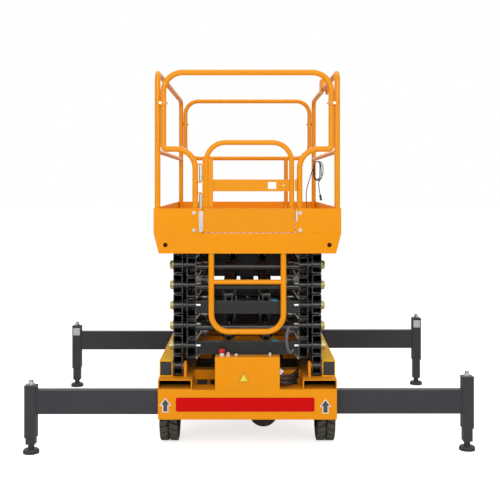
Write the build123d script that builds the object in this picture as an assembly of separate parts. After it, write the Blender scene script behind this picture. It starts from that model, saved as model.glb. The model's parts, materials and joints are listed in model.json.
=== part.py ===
from build123d import *
from math import asin, cos, degrees, radians, sin
import os

# A towed scissor lift with four outriggers, in millimetres. X runs across the machine, Y runs along it from the
# gate end to the drawbar end, and Z is up from the ground. Left is -X. Build coordinates have the platform's
# middle at Y = 0; save() shifts every piece so that the finished machine's own middle is the origin.

# ---- wheels, axles and steering
tyre_radius = 190.0
tyre_width = 118.0
tyre_shoulder = 14.0
rim_radius = 115.0
rim_wall = 6.0
rim_setback = 4.0
disc_thickness = 8.0
tyre_stand_out = 9.0
near_tyre_gap = 5.0
steered_tyre_gap = 30.0
spindle_radius = 22.0
hub_radius = 45.0
hub_length = 80.0
running_gap = 0.1
kingpin_inset = 110.0
kingpin_radius = 15.0
kingpin_boss_radius = 34.0
ear_gap = 36.0
lower_ear_thickness = 20.0
upper_ear_thickness = 18.0
ear_radius = 32.0
steer_arm = 130.0
steer_arm_width = 30.0
steer_arm_end_radius = 20.0
tie_rod_radius = 12.0
tie_rod_drop = 75.0
tie_rod_eye_radius = 18.0
tie_rod_eye_height = 28.0
tie_pin_radius = 8.0
knuckle_plate_x = 42.0
knuckle_plate_thickness = 14.0
knuckle_width = 60.0
steered_beam_size = 60.0
axle_tube_radius = 34.0
axle_flange_radius = 48.0
axle_flange_thickness = 24.0
differential_x = 105.0
differential_radius = 95.0
differential_depth = 130.0
differential_edge = 28.0
axle_motor_radius = 62.0
axle_motor_length = 265.0
hanger_inset = 100.0
hanger_width = 60.0
hanger_length = 70.0

# ---- chassis
chassis_half_width = 560.0
panel_reach = 120.0
panel_thickness = 7.0
panel_bottom = 221.0
sleeve_wall = 6.0
sleeve_setback = 3.0
slide_gap = 0.5
pocket_width = 212.0
pocket_height = 64.0
pocket_wall = 6.0
side_beam_width = 84.0
side_beam_height = 100.0
side_beam_wall = 6.0
side_beam_setback = 98.0
cross_member_width = 90.0
pivot_lug_gap = 8.0
pivot_lug_thickness = 16.0
pivot_lug_length = 90.0
pivot_lug_radius = 32.0
track_gap = 6.0
box_half_width = 203.0
box_depth = 84.0
box_height = 205.0
box_edge = 4.0
power_pack_half_width = 250.0
power_pack_near_gap = 80.0
power_pack_far_gap = 25.0
power_pack_length = 390.0
power_pack_drop = 130.0
power_pack_flange = 8.0
power_pack_flange_up = 20.0
touch = 0.3

# ---- outriggers
beam_depth = 150.0
beam_thickness = 60.0
beam_wall = 6.0
near_beam_z = 325.0
near_right_beam_drop = 14.0
far_beam_rise = 60.0
near_left_leg_x = 1363.0
near_right_leg_x = 1401.0
far_leg_x = 1425.0
beam_overlap = 250.0
leg_tube = 72.0
leg_wall = 6.0
near_leg_length = 322.0
far_leg_length = 345.0
near_leg_bottom = 100.0
far_leg_bottom = 157.0
near_right_leg_rise = 42.0
far_right_leg_rise = 55.0
leg_end_gap = 15.0
pad_gap = 6.0
pad_radius = 51.0
pad_height = 26.0
pad_edge = 8.0
ankle_radius = 20.0
ankle_height = 32.0
screw_radius = 14.0
screw_height = 36.0

# ---- scissor stack
stages = 6
arm_length = 1850.0
stage_rise = 128.7
arm_depth = 120.0
arm_width = 60.0
arm_wall = 5.0
arm_overhang = 40.0
nest_offset = 12.5
stack_side_gap = 6.0
arm_gap = 25.0
stack_middle_y = 33.0
first_pin_z = 535.0
pin_radius = 20.0
boss_radius = 28.0
nut_radius = 25.0
nut_length = 18.0
nut_gap = 2.0
pin_inboard = 28.0
roller_radius = 45.0
roller_width = 52.0
roller_gap = 7.0
cross_tube_radius = 20.0
near_tube_overhang = 15.0
top_tube_along = 120.0
near_beam_along = 5.0
near_beam_depth = 80.0
near_beam_width = 50.0
far_beam_past = 26.0
far_beam_width = 28.0
far_beam_depth = 118.0
shallow_beam_depth = 80.0
beam_tube_wall = 5.0
highest_arm_angle = 62.0

# ---- lift cylinders
cylinder_x = 120.0
barrel_radius = 45.0
barrel_neck_radius = 18.0
barrel_neck_gap = 14.0
rod_radius = 25.0
foot_along = 60.0
foot_up = 62.0
eye_inset = 90.0
eye_up = 55.0
barrel_length = 1080.0
eye_radius = 32.0
foot_eye_width = 26.0
rod_eye_width = 56.0
lug_thickness = 10.0
lug_side_gap = 3.0
eye_lug_half_depth = 17.0
foot_plate_overhang = 30.0
foot_plate_thickness = 16.0
cylinder_pin_radius = 15.0
cylinder_pin_end = 4.0
rod_engagement = 120.0
cylinder_stroke = 230.0

# ---- platform
platform_reach = 130.0
platform_half_width = 586.0
tray_lean = 32.0
deck_over_pins = 78.8
tray_depth = 126.0
toe_height = 156.0
sheet = 5.0
tray_hole_x = 512.0
tray_hole_drop = 73.0
tray_hole_radius = 14.0
tray_hole_depth = 10.0
tray_lug_radius = 38.0
tray_lug_gap = 7.0
inner_tray_lug = 25.0
outer_tray_lug = 12.0
roller_rail_overlap = 15.0
rail_rise = 1025.0
rail_radius = 18.0
end_rail_x = 526.0
mid_rail_rise = 514.0
side_middle_radius = 15.0
side_bend = 60.0
shoulder_rise = 13.0
rail_bend = 120.0
shoulder_bend = 120.0
tight_bend = 22.0
link_rise = 815.0
link_height = 28.0
link_width = 16.0
far_rail_radius = 17.0
far_rail_bend = 110.0
far_low_rise = 523.0
gate_post_x = 327.0
gate_rise = 584.0
gate_tube_radius = 16.0
gate_bend = 120.0
gate_left_inset = 69.0
gate_right_inset = 50.0
gate_gap = 6.0
stile_left = 24.0
stile_right = 43.0
stile_depth = 16.0
stile_top_drop = 120.0
gate_plate_low = 262.0
gate_plate_high = 336.0
gate_plate_thickness = 5.0
hand_hole_x = 154.5
hand_hole_width = 53.0
hand_hole_height = 43.0
hand_hole_up = 15.0
gate_board_left = 14.0
gate_board_right = 18.0
board_strap_width = 20.0
board_strap_low = 20.0
board_strap_height = 40.0
hinge_inset = 36.0
hinge_pin_radius = 5.0
hinge_barrel_radius = 11.0
hinge_barrel_height = 96.0
lower_hinge_rise = 148.0
upper_hinge_rise = 328.0
hinge_block_height = 10.0
hinge_block_depth = 12.0
hinge_block_gap = 2.0
ladder_half_width = 226.0
ladder_drop = 617.0
ladder_rung_drop = 306.0
ladder_bend = 110.0
rung_radius = 15.0
rail_box_length = 120.0
rail_box_inner = 27.0
rail_box_outer = 33.0
rail_box_below = 54.0
rail_box_above = 48.0

# ---- drawbar
drawbar_reach = 119.5
drawbar_lean = 0.8
drawbar_ear_radius = 18.0
drawbar_ear_gap = 5.0
drawbar_ear_thickness = 12.0
drawbar_pin_radius = 10.0
drawbar_pivot_z = 200.0
drawbar_top_z = 955.0
drawbar_width = 56.0
drawbar_thickness = 26.0
yoke_plate_width = 80.0
yoke_plate_y = 85.0
yoke_plate_thickness = 30.0
tow_eye_radius = 52.0
tow_eye_hole = 25.0
tow_eye_weld = 15.0

# ---- worked out from the sizes above
closed_angle = degrees(asin(stage_rise / arm_length))
nest_angle = degrees(asin(2 * nest_offset / arm_length))
arm_span = arm_length * cos(radians(closed_angle))
outer_arm_x = chassis_half_width - side_beam_width - stack_side_gap - arm_width / 2
inner_arm_x = outer_arm_x - arm_width - arm_gap
wheel_x = chassis_half_width + tyre_stand_out - tyre_width / 2
kingpin_x = wheel_x - kingpin_inset
hanger_x = kingpin_x - hanger_inset
near_pin_y = stack_middle_y - arm_span / 2
far_pin_y = stack_middle_y + arm_span / 2
platform_half_length = platform_reach - near_pin_y
panel_near_y = near_pin_y - panel_reach
drawbar_y = far_pin_y + drawbar_reach
sleeve_half_depth = beam_depth / 2 + slide_gap + sleeve_wall
beam_pitch = beam_thickness + 2 * slide_gap + sleeve_wall
sleeve_half_width = beam_pitch / 2 + beam_thickness / 2 + slide_gap + sleeve_wall
beam_pair_y = -panel_near_y - panel_thickness - sleeve_half_width - sleeve_setback
near_axle_y = sleeve_half_width - beam_pair_y + near_tyre_gap + tyre_radius
far_axle_y = beam_pair_y - sleeve_half_width - steered_tyre_gap - tyre_radius
power_pack_near_y = near_axle_y + cross_member_width / 2 + power_pack_near_gap
middle_member_y = power_pack_near_y + power_pack_length + power_pack_far_gap + cross_member_width / 2
pocket_floor_z = near_beam_z + sleeve_half_depth
pocket_top_z = pocket_floor_z + pocket_height
far_beam_z = near_beam_z + far_beam_rise
stack_top_z = first_pin_z + stages * stage_rise
deck_z = stack_top_z + deck_over_pins
rail_top_z = deck_z + rail_rise
mid_rail_z = deck_z + mid_rail_rise
rail_inset = sheet + rail_radius + touch
side_rail_x = platform_half_width - rail_inset
gate_left_x = gate_left_inset - gate_post_x
gate_right_x = gate_post_x - gate_right_inset
hinge_x = hinge_inset - gate_post_x
frame_shift = (drawbar_y + drawbar_ear_radius - platform_half_length) / 2
inner_face_x = inner_arm_x - arm_width / 2
outer_face_x = outer_arm_x + arm_width / 2
pin_start_x = inner_face_x - pin_inboard


def save(name, *solids):
    """Write one sub-part, moved so that the origin is below the middle of the whole machine."""
    os.makedirs("parts", exist_ok=True)
    moved = [Pos(0, -frame_shift, 0) * solid for solid in solids]
    pieces = [piece for shape in moved for piece in shape.solids()]
    whole = pieces[0] if len(pieces) == 1 else Compound(children=pieces)
    whole.label = name
    export_step(whole, f"parts/{name}.step")


def block(x_ends, y_ends, z_ends):
    """A square-cornered solid between two values on each axis, given in any order."""
    sizes = [abs(ends[1] - ends[0]) for ends in (x_ends, y_ends, z_ends)]
    middles = [sum(ends) / 2 for ends in (x_ends, y_ends, z_ends)]
    return Pos(*middles) * Box(*sizes)


def around(middle, size):
    """The two ends of a length centred on a value."""
    return middle - size / 2, middle + size / 2


def rod(start, end, radius):
    """A round bar between two points."""
    run = Vector(*end) - Vector(*start)
    return Plane(origin=start, z_dir=run) * Pos(0, 0, run.length / 2) * Cylinder(radius, run.length)


def bent_tube(points, bends, radius):
    """A round rail along straight runs joined by bends."""
    path = FilletPolyline(*points, radius=bends)
    return sweep(Plane(origin=path @ 0, z_dir=path % 0) * Circle(radius), path=path)


def hollow_x(x_ends, y_ends, z_ends, wall):
    """A rectangular tube along X, open at both ends."""
    bore_y = (min(y_ends) + wall, max(y_ends) - wall)
    bore_z = (min(z_ends) + wall, max(z_ends) - wall)
    return block(x_ends, y_ends, z_ends) - block(x_ends, bore_y, bore_z)


def hollow_y(x_ends, y_ends, z_ends, wall):
    """A rectangular tube along Y, open at both ends."""
    bore_x = (min(x_ends) + wall, max(x_ends) - wall)
    bore_z = (min(z_ends) + wall, max(z_ends) - wall)
    return block(x_ends, y_ends, z_ends) - block(bore_x, y_ends, bore_z)


def across(x_ends, y, z, radius):
    """A round bar along X."""
    return rod((min(x_ends), y, z), (max(x_ends), y, z), radius)


# ---- chassis pieces

def fork_pocket(side):
    """A base longitudinal that is also the fork pocket, open at the gate end."""
    outer = side * chassis_half_width
    inner = side * (chassis_half_width - pocket_width)
    far_end = beam_pair_y - sleeve_half_width
    return hollow_y((inner, outer), (panel_near_y, far_end), (pocket_floor_z, pocket_top_z), pocket_wall)


def side_beam(side):
    outer = side * chassis_half_width
    inner = side * (chassis_half_width - side_beam_width)
    y_ends = (panel_near_y + side_beam_setback, beam_pair_y + sleeve_half_width)
    z_ends = (pocket_top_z, pocket_top_z + side_beam_height)
    return hollow_y((inner, outer), y_ends, z_ends, side_beam_wall)


def outrigger_sleeve(middle_y, beam_z, right_drop):
    """The double housing that two outrigger beams slide in, side by side."""
    y_ends = (middle_y - sleeve_half_width, middle_y + sleeve_half_width)
    z_ends = (beam_z - right_drop - sleeve_half_depth, beam_z + sleeve_half_depth)
    x_ends = (-chassis_half_width, chassis_half_width)
    housing = block(x_ends, y_ends, z_ends)
    for side, drop in ((-1, 0), (1, right_drop)):
        slot_y = around(middle_y + side * beam_pitch / 2, beam_thickness + 2 * slide_gap)
        slot_z = around(beam_z - drop, beam_depth + 2 * slide_gap)
        housing -= block(x_ends, slot_y, slot_z)
    return housing


def front_panel():
    y_ends = (panel_near_y, panel_near_y + panel_thickness)
    return block((-chassis_half_width, chassis_half_width), y_ends, (panel_bottom, pocket_floor_z))


def cross_members():
    """Bars between the two base longitudinals, with the axles' hangers under them."""
    half = chassis_half_width - pocket_width
    z_ends = (pocket_floor_z, pocket_top_z)
    return [block((-half, half), around(middle_y, cross_member_width), z_ends)
            for middle_y in (near_axle_y, middle_member_y, far_axle_y)]


def axle_hangers(axle_y, top_z, bottom_z):
    """Two plates that carry an axle beam from the cross member above it."""
    y_ends = around(axle_y, hanger_length)
    return [block(around(side * hanger_x, hanger_width), y_ends, (bottom_z, top_z)) for side in (-1, 1)]


def pivot_lug(side):
    """The fixed lug and pin that the lowest outer arm turns on."""
    face = outer_arm_x - arm_width / 2 - pivot_lug_gap
    x_ends = (side * (face - pivot_lug_thickness), side * face)
    foot = block(x_ends, around(near_pin_y, pivot_lug_length), (pocket_top_z, first_pin_z))
    ring = across(x_ends, near_pin_y, first_pin_z, pivot_lug_radius)
    beam_face = chassis_half_width - side_beam_width
    pin = across((x_ends[0], side * beam_face), near_pin_y, first_pin_z, pin_radius)
    return foot + ring + pin


def roller_track(side):
    near_y = near_pin_y + arm_length * cos(radians(highest_arm_angle)) - roller_radius
    beam_face = chassis_half_width - side_beam_width
    x_ends = (side * (inner_arm_x + arm_width / 2 + track_gap), side * (beam_face + side_beam_wall / 2))
    z_ends = (pocket_top_z, first_pin_z - roller_radius - touch)
    return block(x_ends, (near_y, beam_pair_y + sleeve_half_width), z_ends)


def control_box():
    y_ends = (panel_near_y, panel_near_y + box_depth)
    z_ends = (pocket_floor_z, pocket_floor_z + box_height)
    housing = block((-box_half_width, box_half_width), y_ends, z_ends)
    return fillet(housing.edges().filter_by(Axis.Z), box_edge)


def power_pack():
    """Motor, pump, tank and batteries between the longitudinals, as one mass."""
    half = chassis_half_width - pocket_width - touch
    y_ends = (power_pack_near_y, power_pack_near_y + power_pack_length)
    low = pocket_floor_z - power_pack_drop
    pack = block((-power_pack_half_width, power_pack_half_width), y_ends, (low, pocket_top_z))
    flange_low = pocket_floor_z + power_pack_flange_up
    return pack + block((-half, half), y_ends, (flange_low, flange_low + power_pack_flange))


def near_axle():
    """The driven axle: tubes, round differential housing and the motor behind it."""
    beam = across((-kingpin_x, kingpin_x), near_axle_y, tyre_radius, axle_tube_radius)
    for side in (-1, 1):
        flange = side * kingpin_x
        beam += across(around(flange, axle_flange_thickness), near_axle_y, tyre_radius, axle_flange_radius)
        beam += across((flange, side * (wheel_x + hub_length / 2)), near_axle_y, tyre_radius, spindle_radius)
    half = differential_depth / 2
    housing = rod((differential_x, near_axle_y - half, tyre_radius), (differential_x, near_axle_y + half, tyre_radius),
                  differential_radius)
    beam += fillet(housing.edges().filter_by(GeomType.CIRCLE), differential_edge)
    beam += rod((differential_x, near_axle_y, tyre_radius),
                (differential_x, near_axle_y + half + axle_motor_length, tyre_radius), axle_motor_radius)
    for hanger in axle_hangers(near_axle_y, pocket_floor_z, tyre_radius):
        beam += hanger
    return beam


def far_axle():
    """The steered axle beam, with an eye for each kingpin and one for the drawbar's yoke."""
    low = tyre_radius - steered_beam_size / 2
    high = tyre_radius + steered_beam_size / 2
    beam = block((-kingpin_x, kingpin_x), around(far_axle_y, steered_beam_size), (low, high))
    for x in (-kingpin_x, 0, kingpin_x):
        beam += rod((x, far_axle_y, low), (x, far_axle_y, high), kingpin_boss_radius)
    for hanger in axle_hangers(far_axle_y, pocket_floor_z, tyre_radius):
        beam += hanger
    for x in (-kingpin_x, 0, kingpin_x):
        beam -= rod((x, far_axle_y, low - touch), (x, far_axle_y, high + touch), kingpin_radius + running_gap)
    return beam


def ear_levels():
    """Lower and upper ears of a yoke, as pairs of levels."""
    low = (tyre_radius - ear_gap - lower_ear_thickness, tyre_radius - ear_gap)
    high = (tyre_radius + ear_gap, tyre_radius + ear_gap + upper_ear_thickness)
    return low, high


def yoke_ears(x, y):
    """Ears above and below the axle's eye, with the pin between them and the steering arm below."""
    low, high = ear_levels()
    pin = rod((x, y, low[0]), (x, y, high[1]), kingpin_radius)
    ears = [rod((x, y, ends[0]), (x, y, ends[1]), ear_radius) for ends in (low, high)]
    arm = block(around(x, steer_arm_width), (y - steer_arm, y), low)
    end = rod((x, y - steer_arm, low[0]), (x, y - steer_arm, low[1]), steer_arm_end_radius)
    body = pin + ears[0] + ears[1] + arm + end
    return body - rod((x, y - steer_arm, 0), (x, y - steer_arm, tyre_radius), tie_pin_radius + running_gap)


def knuckle(side):
    x = side * kingpin_x
    low, high = ear_levels()
    y_ends = around(far_axle_y, knuckle_width)
    plate_x = (x + side * knuckle_plate_x, x + side * (knuckle_plate_x + knuckle_plate_thickness))
    body = yoke_ears(x, far_axle_y) + block(plate_x, y_ends, (low[0], high[1]))
    for ends in (low, high):
        body += block((x, plate_x[0]), y_ends, ends)
    spindle = (sum(plate_x) / 2, side * (wheel_x + hub_length / 2))
    body += across(spindle, far_axle_y, tyre_radius, spindle_radius)
    return body


def tie_rod():
    """The bar that joins the three steering arms."""
    y = far_axle_y - steer_arm
    z = tyre_radius - tie_rod_drop
    low, high = ear_levels()
    bar = across((-kingpin_x, kingpin_x), y, z, tie_rod_radius)
    for x in (-kingpin_x, 0, kingpin_x):
        eye_z = around(z, tie_rod_eye_height)
        bar += rod((x, y, eye_z[0]), (x, y, eye_z[1]), tie_rod_eye_radius)
        bar += rod((x, y, z), (x, y, low[1] + tie_pin_radius), tie_pin_radius)
    return bar


def tow_yoke():
    """The yoke that turns the steering, with ears for the drawbar's hinge beyond the far sleeve."""
    body = yoke_ears(0, far_axle_y)
    low, high = ear_levels()
    plate_y = (drawbar_y - yoke_plate_y, drawbar_y - yoke_plate_y + yoke_plate_thickness)
    for ends in (low, high):
        body += block((-kingpin_boss_radius, kingpin_boss_radius), (far_axle_y, plate_y[1]), ends)
    body += block(around(0, yoke_plate_width), plate_y, (low[0], high[1]))
    for side in (-1, 1):
        ear_start = drawbar_width / 2 + drawbar_ear_gap
        ear_x = (side * ear_start, side * (ear_start + drawbar_ear_thickness))
        body += block(ear_x, (plate_y[0], drawbar_y), around(drawbar_pivot_z, 2 * drawbar_ear_radius))
        body += across(ear_x, drawbar_y, drawbar_pivot_z, drawbar_ear_radius)
    pin_x = drawbar_width / 2 + drawbar_ear_gap + drawbar_ear_thickness / 2
    body += across((-pin_x, pin_x), drawbar_y, drawbar_pivot_z, drawbar_pin_radius)
    return body


def drawbar():
    """The folding drawbar, leaning a little against its stop, with a tow eye at its end."""
    half = drawbar_thickness / 2
    reach = drawbar_top_z - drawbar_pivot_z - tow_eye_radius
    x_ends = around(0, drawbar_width)
    bar = block(x_ends, (-half, half), (0, reach - tow_eye_radius + tow_eye_weld))
    bar += across(x_ends, 0, 0, half)
    bar += rod((0, -half, reach), (0, half, reach), tow_eye_radius)
    bar -= rod((0, -drawbar_thickness, reach), (0, drawbar_thickness, reach), tow_eye_hole)
    bar -= across((-drawbar_width, drawbar_width), 0, 0, drawbar_pin_radius + running_gap)
    return Pos(0, drawbar_y, drawbar_pivot_z) * Rot(drawbar_lean, 0, 0) * bar


# ---- wheels

def tyre(side, axle_y):
    """A solid tyre as a ring with bevelled shoulders."""
    half = tyre_width / 2
    inner = half - tyre_shoulder
    profile = Polyline((-half, rim_radius), (half, rim_radius), (half, tyre_radius - tyre_shoulder),
                       (inner, tyre_radius), (-inner, tyre_radius), (-half, tyre_radius - tyre_shoulder), close=True)
    ring = revolve(make_face(profile), Axis.X)
    return Pos(side * wheel_x, axle_y, tyre_radius) * ring


def ring_about_x(half_length, inner, outer):
    """A plain ring about the X axis."""
    profile = Polyline((-half_length, inner), (half_length, inner), (half_length, outer), (-half_length, outer),
                       close=True)
    return revolve(make_face(profile), Axis.X)


def rim(side, axle_y):
    """A rim with a flat disc, and its hub bored for the spindle."""
    inner = rim_radius - rim_wall
    bore = spindle_radius + running_gap
    body = ring_about_x(tyre_width / 2 - rim_setback, inner, rim_radius)
    body += ring_about_x(disc_thickness / 2, bore, inner)
    body += ring_about_x(hub_length / 2, bore, hub_radius)
    return Pos(side * wheel_x, axle_y, tyre_radius) * body


# ---- outriggers

def outrigger_beam(side, beam_y, beam_z, leg_x, leg_ends):
    """A sliding beam with the square leg tube welded to its end."""
    x_ends = (side * (leg_x - leg_tube / 2), side * (chassis_half_width - beam_overlap))
    beam = hollow_x(x_ends, around(beam_y, beam_thickness), around(beam_z, beam_depth), beam_wall)
    bottom, top = leg_ends
    x = side * leg_x
    bore = leg_tube - 2 * leg_wall
    tube = block(around(x, leg_tube), around(beam_y, leg_tube), (bottom, top))
    tube -= block(around(x, bore), around(beam_y, bore), (bottom, top - leg_wall))
    screw = rod((x, beam_y, top), (x, beam_y, top + screw_height), screw_radius)
    return beam + tube + screw


def jack_leg(side, beam_y, leg_x, leg_ends):
    """The inner leg with its round foot; it slides up until the foot comes near the leg tube."""
    bottom, top = leg_ends
    travel = bottom - pad_height - pad_gap
    width = leg_tube - 2 * (leg_wall + slide_gap)
    x = side * leg_x
    shin_bottom = pad_height + ankle_height
    shin = block(around(x, width), around(beam_y, width), (shin_bottom, top - leg_wall - travel - leg_end_gap))
    foot = rod((x, beam_y, 0), (x, beam_y, pad_height), pad_radius)
    foot = chamfer(foot.edges().group_by(Axis.Z)[-1], pad_edge)
    ankle = rod((x, beam_y, 0), (x, beam_y, shin_bottom), ankle_radius)
    return shin + foot + ankle


# ---- scissor stack

def on_arm(shape, pin_z, angle):
    """Place a shape drawn along +Y from a near pin at the origin onto its arm."""
    return Pos(0, near_pin_y, pin_z) * Rot(angle, 0, 0) * shape


def arm_tube(x, nest):
    """One open-ended arm tube, turned a little about its middle so that closed arms nest."""
    span = arm_length + 2 * arm_overhang
    tube = Box(arm_width, span, arm_depth) - Box(arm_width - 2 * arm_wall, span, arm_depth - 2 * arm_wall)
    tube = Pos(0, arm_length / 2, 0) * Rot(nest, 0, 0) * tube
    return Pos(x, 0, 0) * tube


def outer_arm(side, stage):
    """An outer arm, rising from the near pins to the far pins, with a bored boss at each pin."""
    x = side * outer_arm_x
    body = arm_tube(x, -nest_angle)
    x_ends = around(x, arm_width)
    bore_ends = around(x, arm_width + 2 * touch)
    last = stage == stages
    for along in (0, arm_length / 2, arm_length):
        body += across(x_ends, along, 0, boss_radius)
    bored = (0, arm_length / 2) if last else (0, arm_length / 2, arm_length)
    for along in bored:
        body -= across(bore_ends, along, 0, pin_radius + running_gap)
    if last:
        roller_outer = side * (outer_arm_x - arm_width / 2 - roller_gap)
        roller_inner = roller_outer - side * roller_width
        body += across((roller_inner, roller_outer), arm_length, 0, roller_radius)
        body += across((roller_outer, x), arm_length, 0, pin_radius)
    return on_arm(body, first_pin_z + (stage - 1) * stage_rise, closed_angle)


def cylinder_lugs(eye_width):
    """The X ranges of the two lugs on each side of both cylinders' eyes."""
    ranges = []
    for x in (-cylinder_x, cylinder_x):
        for side in (-1, 1):
            face = x + side * (eye_width / 2 + lug_side_gap)
            ranges.append((face, face + side * lug_thickness))
    return ranges


def foot_mount(reach):
    """The near cross beam that carries the cylinders' feet, with lugs and hinge pins."""
    body = hollow_x(reach, around(near_beam_along, near_beam_width), around(-nest_offset, near_beam_depth), beam_tube_wall)
    for x_ends in cylinder_lugs(foot_eye_width):
        body += across(x_ends, foot_along, foot_up, eye_radius)
        body += block(x_ends, around(foot_along, 2 * eye_radius), (-nest_offset, foot_up))
    half = foot_eye_width / 2 + lug_side_gap + lug_thickness + cylinder_pin_end
    for x in (-cylinder_x, cylinder_x):
        body += across((x - half, x + half), foot_along, foot_up, cylinder_pin_radius)
    plate_half = cylinder_x + foot_plate_overhang
    plate_along = (near_beam_along, foot_along + eye_radius)
    return body + block((-plate_half, plate_half), plate_along, around(-nest_offset, foot_plate_thickness))


def far_cross_beam(reach, depth, with_eye_lugs):
    """The cross beam past the far pins; it may carry the lugs of the rods' eyes."""
    along = arm_length + far_beam_past
    top = nest_offset + far_beam_depth / 2
    body = hollow_x(reach, around(along, far_beam_width), (top - depth, top), beam_tube_wall)
    if with_eye_lugs:
        eye_along = arm_length - eye_inset
        for x_ends in cylinder_lugs(rod_eye_width):
            body += across(x_ends, eye_along, eye_up, eye_radius)
            body += block(x_ends, (eye_along, along), around(eye_up, 2 * eye_lug_half_depth))
    return body


def inner_frame(stage):
    """A pair of inner arms joined by cross members, carrying this stage's pins."""
    body = arm_tube(-inner_arm_x, nest_angle) + arm_tube(inner_arm_x, nest_angle)
    for side in (-1, 1):
        pin_start = side * pin_start_x
        nut = (side * (outer_face_x + nut_gap), side * (outer_face_x + nut_gap + nut_length))
        pinned = [arm_length / 2]
        if stage < stages:
            pinned.append(0)
        if stage > 1:
            pinned.append(arm_length)
        for along in pinned:
            body += across((pin_start, nut[0]), along, 0, pin_radius)
            body += across(nut, along, 0, nut_radius)
        if stage == stages:
            lug_face = inner_arm_x + arm_width / 2 + tray_lug_gap + outer_tray_lug
            body += across((pin_start, side * lug_face), 0, 0, pin_radius)
        if stage == 1:
            roller = side * (inner_arm_x + arm_width / 2 + roller_gap)
            body += across((pin_start, roller), arm_length, 0, pin_radius)
            body += across((roller, roller + side * roller_width), arm_length, 0, roller_radius)
    reach = (-inner_face_x - arm_wall / 2, inner_face_x + arm_wall / 2)
    if stage in (1, 3):
        body += foot_mount(reach)
    elif stage == stages:
        body += across(reach, top_tube_along, -nest_offset, cross_tube_radius)
    else:
        body += across(reach, -near_tube_overhang, -nest_offset, cross_tube_radius)
    depth = shallow_beam_depth if stage == 4 else far_beam_depth
    body += far_cross_beam(reach, depth, stage in (3, 5))
    return on_arm(body, first_pin_z + stage * stage_rise, -closed_angle)


def cylinder_line():
    """Foot and eye of a closed lift cylinder, in the build frame, relative to its foot frame's near pin."""
    low = radians(-closed_angle)
    foot = Vector(0, foot_along * cos(low) - foot_up * sin(low), foot_along * sin(low) + foot_up * cos(low))
    eye_along = arm_length - eye_inset
    eye = Vector(0, eye_along * cos(low) - eye_up * sin(low), eye_along * sin(low) + eye_up * cos(low))
    return foot, eye + Vector(0, 0, 2 * stage_rise)


def lift_cylinder(foot_stage):
    """Barrels and rods of the two cylinders whose feet are on one inner frame."""
    foot, eye = cylinder_line()
    base = Vector(0, near_pin_y, first_pin_z + foot_stage * stage_rise)
    foot += base
    eye += base
    run = (eye - foot).normalized()
    barrels = []
    rods = []
    for x in (-cylinder_x, cylinder_x):
        start = Vector(x, foot.Y, foot.Z)
        end = Vector(x, eye.Y, eye.Z)
        foot_ends = around(x, foot_eye_width)
        eye_ends = around(x, rod_eye_width)
        neck = eye_radius + barrel_neck_gap
        neck_cut = block(foot_ends, around(foot.Y, 2 * barrel_length), around(foot.Z, 2 * barrel_length))
        barrel = rod(start + run * neck, start + run * barrel_length, barrel_radius)
        barrel += rod(start, start + run * (neck + barrel_neck_gap), barrel_neck_radius) & neck_cut
        barrel += across(foot_ends, start.Y, start.Z, eye_radius)
        barrel -= across(foot_ends, start.Y, start.Z, cylinder_pin_radius + running_gap)
        rod_start = barrel_length - rod_engagement - cylinder_stroke
        bore_end = start + run * (barrel_length + touch)
        barrel -= rod(start + run * (rod_start - cylinder_pin_radius), bore_end, rod_radius + running_gap)
        barrels.append(barrel)
        piston_rod = rod(start + run * rod_start, end - run * (eye_radius / 2), rod_radius)
        piston_rod += across(eye_ends, eye.Y, eye.Z, eye_radius)
        rods.append(piston_rod)
    return barrels, rods


# ---- platform

def skirt_section(top, low, top_z, bottom_z):
    """A section across the platform whose sides lean in towards the bottom."""
    return Plane.XZ * make_face(Polyline((-top, top_z), (top, top_z), (low, bottom_z), (-low, bottom_z), close=True))


def tray():
    """Deck plate over a skirt whose sides lean in, with tracks for the far rollers and lugs for the near pins."""
    top = platform_half_width
    low = platform_half_width - tray_lean
    bottom_z = deck_z - tray_depth
    solid = extrude(skirt_section(top, low, deck_z, bottom_z), platform_half_length, both=True)
    inside = skirt_section(top - sheet, low - sheet, deck_z - sheet, bottom_z - touch)
    solid -= extrude(inside, platform_half_length - sheet, both=True)
    hole_z = deck_z - tray_hole_drop
    for x in (-tray_hole_x, tray_hole_x):
        near_face = (x, -platform_half_length - touch, hole_z)
        solid -= rod(near_face, (x, -platform_half_length + tray_hole_depth, hole_z), tray_hole_radius)
    outer_lug = inner_arm_x + arm_width / 2 + tray_lug_gap
    inner_lug = inner_face_x - arm_wall - tray_lug_gap / 2
    for side in (-1, 1):
        x_ends = (side * (inner_arm_x - roller_rail_overlap), side * (outer_arm_x - arm_width / 2))
        track_y = (0, platform_half_length - sheet)
        solid += block(x_ends, track_y, (stack_top_z + roller_radius + touch, deck_z - sheet))
        for lug_x in ((inner_lug - inner_tray_lug, inner_lug), (outer_lug, outer_lug + outer_tray_lug)):
            ends = (side * lug_x[0], side * lug_x[1])
            bore_ends = (side * (lug_x[0] - touch), side * (lug_x[1] + touch))
            solid += block(ends, around(near_pin_y, 2 * tray_lug_radius), (stack_top_z, deck_z - sheet))
            solid += across(ends, near_pin_y, stack_top_z, tray_lug_radius)
            solid -= across(bore_ends, near_pin_y, stack_top_z, pin_radius + running_gap)
    return solid


def toe_boards():
    """Kick boards round the deck, open where the gate's own board closes them."""
    outer = platform_half_width
    inner = outer - sheet
    z_ends = (deck_z, deck_z + toe_height)
    near_face = -platform_half_length
    ring = block((-outer, outer), (near_face, platform_half_length), z_ends)
    ring -= block((-inner, inner), (near_face + sheet, platform_half_length - sheet), z_ends)
    opening = (hinge_x + gate_board_left - gate_gap, gate_right_x + gate_board_right + gate_gap)
    ring -= block(opening, (near_face, near_face + sheet), z_ends)
    return ring


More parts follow.
